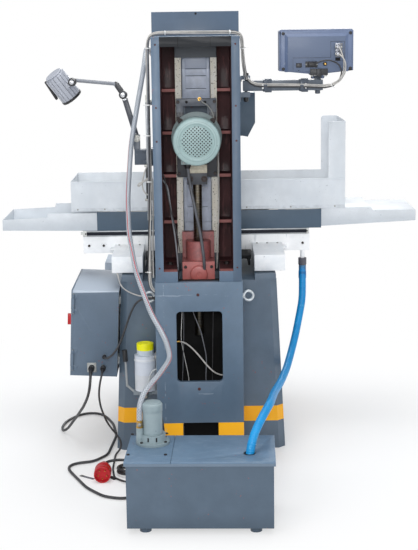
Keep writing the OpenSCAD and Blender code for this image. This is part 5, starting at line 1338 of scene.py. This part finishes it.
loom_run = [(166.2, 470, 690), (176, 470, 690), (187, 458, 720), (179, 400, 1100), (179, 402, 1600),
            (173, 415, 1646), (140, 440, 1654), (-140, 432, 1654), (-172, 410, 1648), (-180, 340, 1540),
            (-190, 270, 1490), (-196, 215, 1476), (-196, 180.5, 1476)]
loom_path = eased(loom_run, rounds=20)
leads = [(2.7, 0.4, pale_sheath), (2.7, 2.2, pale_sheath), (3.1, 3.7, grey_sheath), (2.7, 5.3, cable_rubber)]
loom = [tube("loom_lead", strand(loom_path, 0.0043, turn), radius / 1000, finish, 10)
        for radius, turn, finish in leads]
ties = [((182, 440, 760), 0.5), ((179, 400, 1100), 0.2), ((179, 400, 1277), 0), ((179, 401, 1391), 0.3),
        ((176, 405, 1600), 2.6), ((110, 440, 1654), 1.0), ((-130, 432, 1654), 1.4), ((-176, 375, 1600), 0.4),
        ((-195, 225, 1477), 1.2)]
for near, turn in ties:
    loom += strap(loom_path, near, 7.3, 12, turn)
bundle = joined("loom_bundle", *loom)
settle(bundle, "root", slots["cable_loom"], "cable_loom")


# Readout leads: the same leads go on along the arm under two clamps, hang free past its end and
# rise to the case: two beige ones to the sockets and a black one to the mains inlet.
arm_run = [(-196, 181, 1476), (-203, 187, 1467), (-216, 190, 1455), (-238, 190, 1447), (-300, 190, 1445),
           (-420, 190, 1443), (-478, 191, 1440), (-502, 193, 1439)]
arm_path = eased(arm_run, rounds=8)
arm_leads = [
    tube("arm_lead", [p + Vector((0, 0.003 * math.cos(turn) + 0.001, height / 1000)) for p in arm_path],
         0.0027, finish, 10)
    for height, turn, finish in ((5.6, 0, pale_sheath), (0.2, 1, pale_sheath), (-5.2, 0, cable_rubber))]
arm_bundle = joined("arm_bundle", *arm_leads)
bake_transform(arm_bundle)
loops = [((-502, 194, 1444.6), (-528, 198, 1447), (-556, 208, 1463), (-573, 222, 1495), (-571, 238, 1540),
          (-561, 244, 1572), (-553, 243, 1588), (-552, 233, 1590)),
         ((-502, 194, 1439.2), (-530, 199, 1442), (-560, 212, 1460), (-578, 228, 1492), (-578, 242, 1530),
          (-566, 248, 1552), (-554, 244, 1562), (-552, 233, 1563)),
         ((-502, 194, 1433.8), (-534, 200, 1440), (-560, 208, 1468), (-566, 220, 1499), (-551, 236, 1526),
          (-520, 242, 1541), (-489, 240, 1540), (-468, 232, 1531), (-461, 226, 1527))]
readout_leads = [tube("readout_lead", eased(run, 0.004, 8), 0.0027, finish, 10)
                 for run, finish in zip(loops, (pale_sheath, pale_sheath, cable_rubber))]
readout_leads += strap(metres([(-520, 196, 1442), (-530, 199, 1444), (-538, 203, 1450)]),
                       (-530, 199, 1444), 7, 12, 3.6)
readout_bundle = joined("readout_bundle", *readout_leads)
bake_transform(readout_bundle)


# Third lead: a dark lead, 8 mm, that leaves the cabinet's rear wall through a small gland and
# sags on the way to the pedestal, which it enters beside the eyebolt. It hangs free.
third_run = [(378, 316, 397), (378, 324, 397), (370, 344, 396), (346, 366, 412), (320, 376, 448),
             (299, 382, 496), (281, 388, 548), (262, 398, 600), (240, 406, 640), (212, 412, 652),
             (176, 414, 653), (167, 414, 653)]
third_path = eased(third_run, rounds=14)
third_lead = tube("third_lead", third_path, 0.004, cable_rubber, 10)
settle(third_lead, "root", "black_rubber")
round(run_length(third_path), 2)
entries = [lathe("lead_entry", [(8, 0), (8, 4), (6, 6), (5, 12), (3.6, 15)],
                 (166, y, 653), (1, 0, 0), black_plastic, 12)
           for y in (392, 414)]


# Thin beige lead: 5 mm, from the position scale's reader under the saddle to the pedestal, with a
# little slack for the saddle's travel.
beige_run = [(330, 236, 735), (327, 240, 728), (316, 256, 706), (311, 284, 682), (292, 310, 667),
             (259, 350, 658), (222, 386, 654), (180, 392, 653), (167, 392, 653)]
beige_path = eased(beige_run, rounds=14)
beige_lead = tube("beige_lead", beige_path, 0.0025, pale_sheath, 10)
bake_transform(beige_lead)
round(run_length(beige_path), 2)
detail("lead_entries", "root", "grey_plastic", *entries)


# Column wiring: two leads tied inside the open back, one along the right rail, and the reader's
# lead, whose spare length is tied up in loops beside the column scale. All of it is fixed wiring.
wires = []
for run, radius, finish in (
        (((-86, 262, 1246), (-84, 272, 1236), (-83, 280, 1210), (-83, 280, 1014), (-80, 290, 930),
          (-75, 303, 817), (-71, 303, 745)), 3.2, pale_sheath),
        (((146, 372, 1112), (128, 384, 1104), (112, 398, 1080), (107, 402, 1030), (100, 404, 975),
          (89, 402, 900), (80, 402, 800), (78, 400, 757)), 3.4, grey_sheath),
        (((146, 372, 1152), (126, 392, 1128), (114, 408, 1060), (104, 412, 1000), (80, 406, 900),
          (66, 402, 800), (62, 402, 757)), 2.0, cable_rubber)):
    wires.append(tube("wire", eased(run, rounds=14), radius / 1000, finish, 10))
detail("column_wiring", "root", "grey_plastic", *wires)
loop_run = [(188, 268, 1140), (192, 290, 1152), (202, 306, 1128), (213, 308, 1090), (211, 308, 1057),
            (192, 308, 1034), (175, 308, 1054), (171, 309, 1100), (180, 311, 1110), (207, 313, 1093),
            (224, 314, 1070), (235, 314, 1074), (226, 313, 1084), (206, 312, 1092), (184, 318, 1100),
            (176, 350, 1104), (170, 385, 1090), (169, 396, 1000), (173, 412, 860), (172, 452, 740)]
spare_lead = tube("spare_lead", eased(loop_run, 0.004, 10), 0.0028, pale_sheath, 10)
knot = strap(metres([(190, 314, 1098), (180, 318, 1101), (172, 322, 1104)]), (180, 318, 1101), 6, 8, 1)
detail("spare_leads", "root", "grey_plastic", spare_lead, *knot)


# Window wiring: the wires and the beige oil pipe that hang in the pedestal behind its window, the
# pipe held by a brass clip at the window's edge.
inner = []
for run, radius, finish in (
        (((62, 395, 715), (66, 405, 600), (73, 408, 487), (42, 405, 321), (56, 420, 240), (84, 440, 150),
          (96, 446, 4)), 1.2, white_nylon),
        (((40, 395, 715), (24, 400, 589), (-5, 405, 520), (-26, 408, 417), (-21, 408, 317),
          (-44, 420, 240), (-82, 440, 150), (-94, 446, 4)), 2.0, grey_sheath),
        (((-58, 385, 715), (-54, 385, 587), (-47, 385, 304), (-58, 400, 230), (-84, 430, 140),
          (-90, 440, 4)), 1.8, cable_rubber),
        (((62, 395, 715), (60, 400, 598), (61, 410, 500), (70, 420, 300), (66, 410, 4)), 1.2, grey_sheath),
        (((96, 452, 490), (84, 452, 490), (62, 450, 490), (36, 446, 468), (9, 442, 438), (-22, 440, 396),
          (-48, 440, 366), (-74, 440, 350), (-92, 438, 348), (-120, 430, 350), (-139, 420, 352)), 3.0,
         pale_sheath)):
    inner.append(tube("inner_wire", eased(run, rounds=16), radius / 1000, finish, 10))
inner += [lathe("pipe_clip", [(5, 0), (5, 4), (3.8, 5), (3.8, 12), (4.6, 13), (4.6, 17), (3, 18)],
                (92, 452, 490), (-1, 0, 0), brass, 12),
          lathe("pipe_seat", [(7, -3), (8, -2), (8, 3), (5, 4)], (95, 452, 490), (-1, 0, 0), white_nylon, 14)]
detail("window_wiring", "root", "grey_plastic", *inner)


# Cable strap: a grey webbing strap with a metal tip, left on the floor by the plug.
def laid(piece, x, y, degrees):
    """Lays a piece on the floor, at a place in metres and turned about the vertical."""
    turned = Matrix.Rotation(math.radians(degrees), 4, "Z")
    piece.matrix_world = Matrix.Translation(Vector((x, y, 0))) @ turned
    return piece


webbing = Finish("webbing", card(120, 122, 128), 0.8)
webbing.cover((webbing.y * 900 % 1).near(0.5, 0.2), card(84, 86, 92), 0.9)
webbing.skin(webbing.noise(0.001), 0.0002)
detail("cable_strap", "root", "black_rubber",
       laid(plate((-32, 26), (-6, 6), (0.4, 2.2), webbing, 0.4), 0.428, 0.604, 143),
       laid(plate((-42, -28), (-7, 7), (0.3, 3.0), zinc, 0.6), 0.428, 0.604, 143),
       laid(plate((-14, 14), (-5, 5), (0.3, 9), black_plastic, 1.5), 0.336, 0.62, 128))
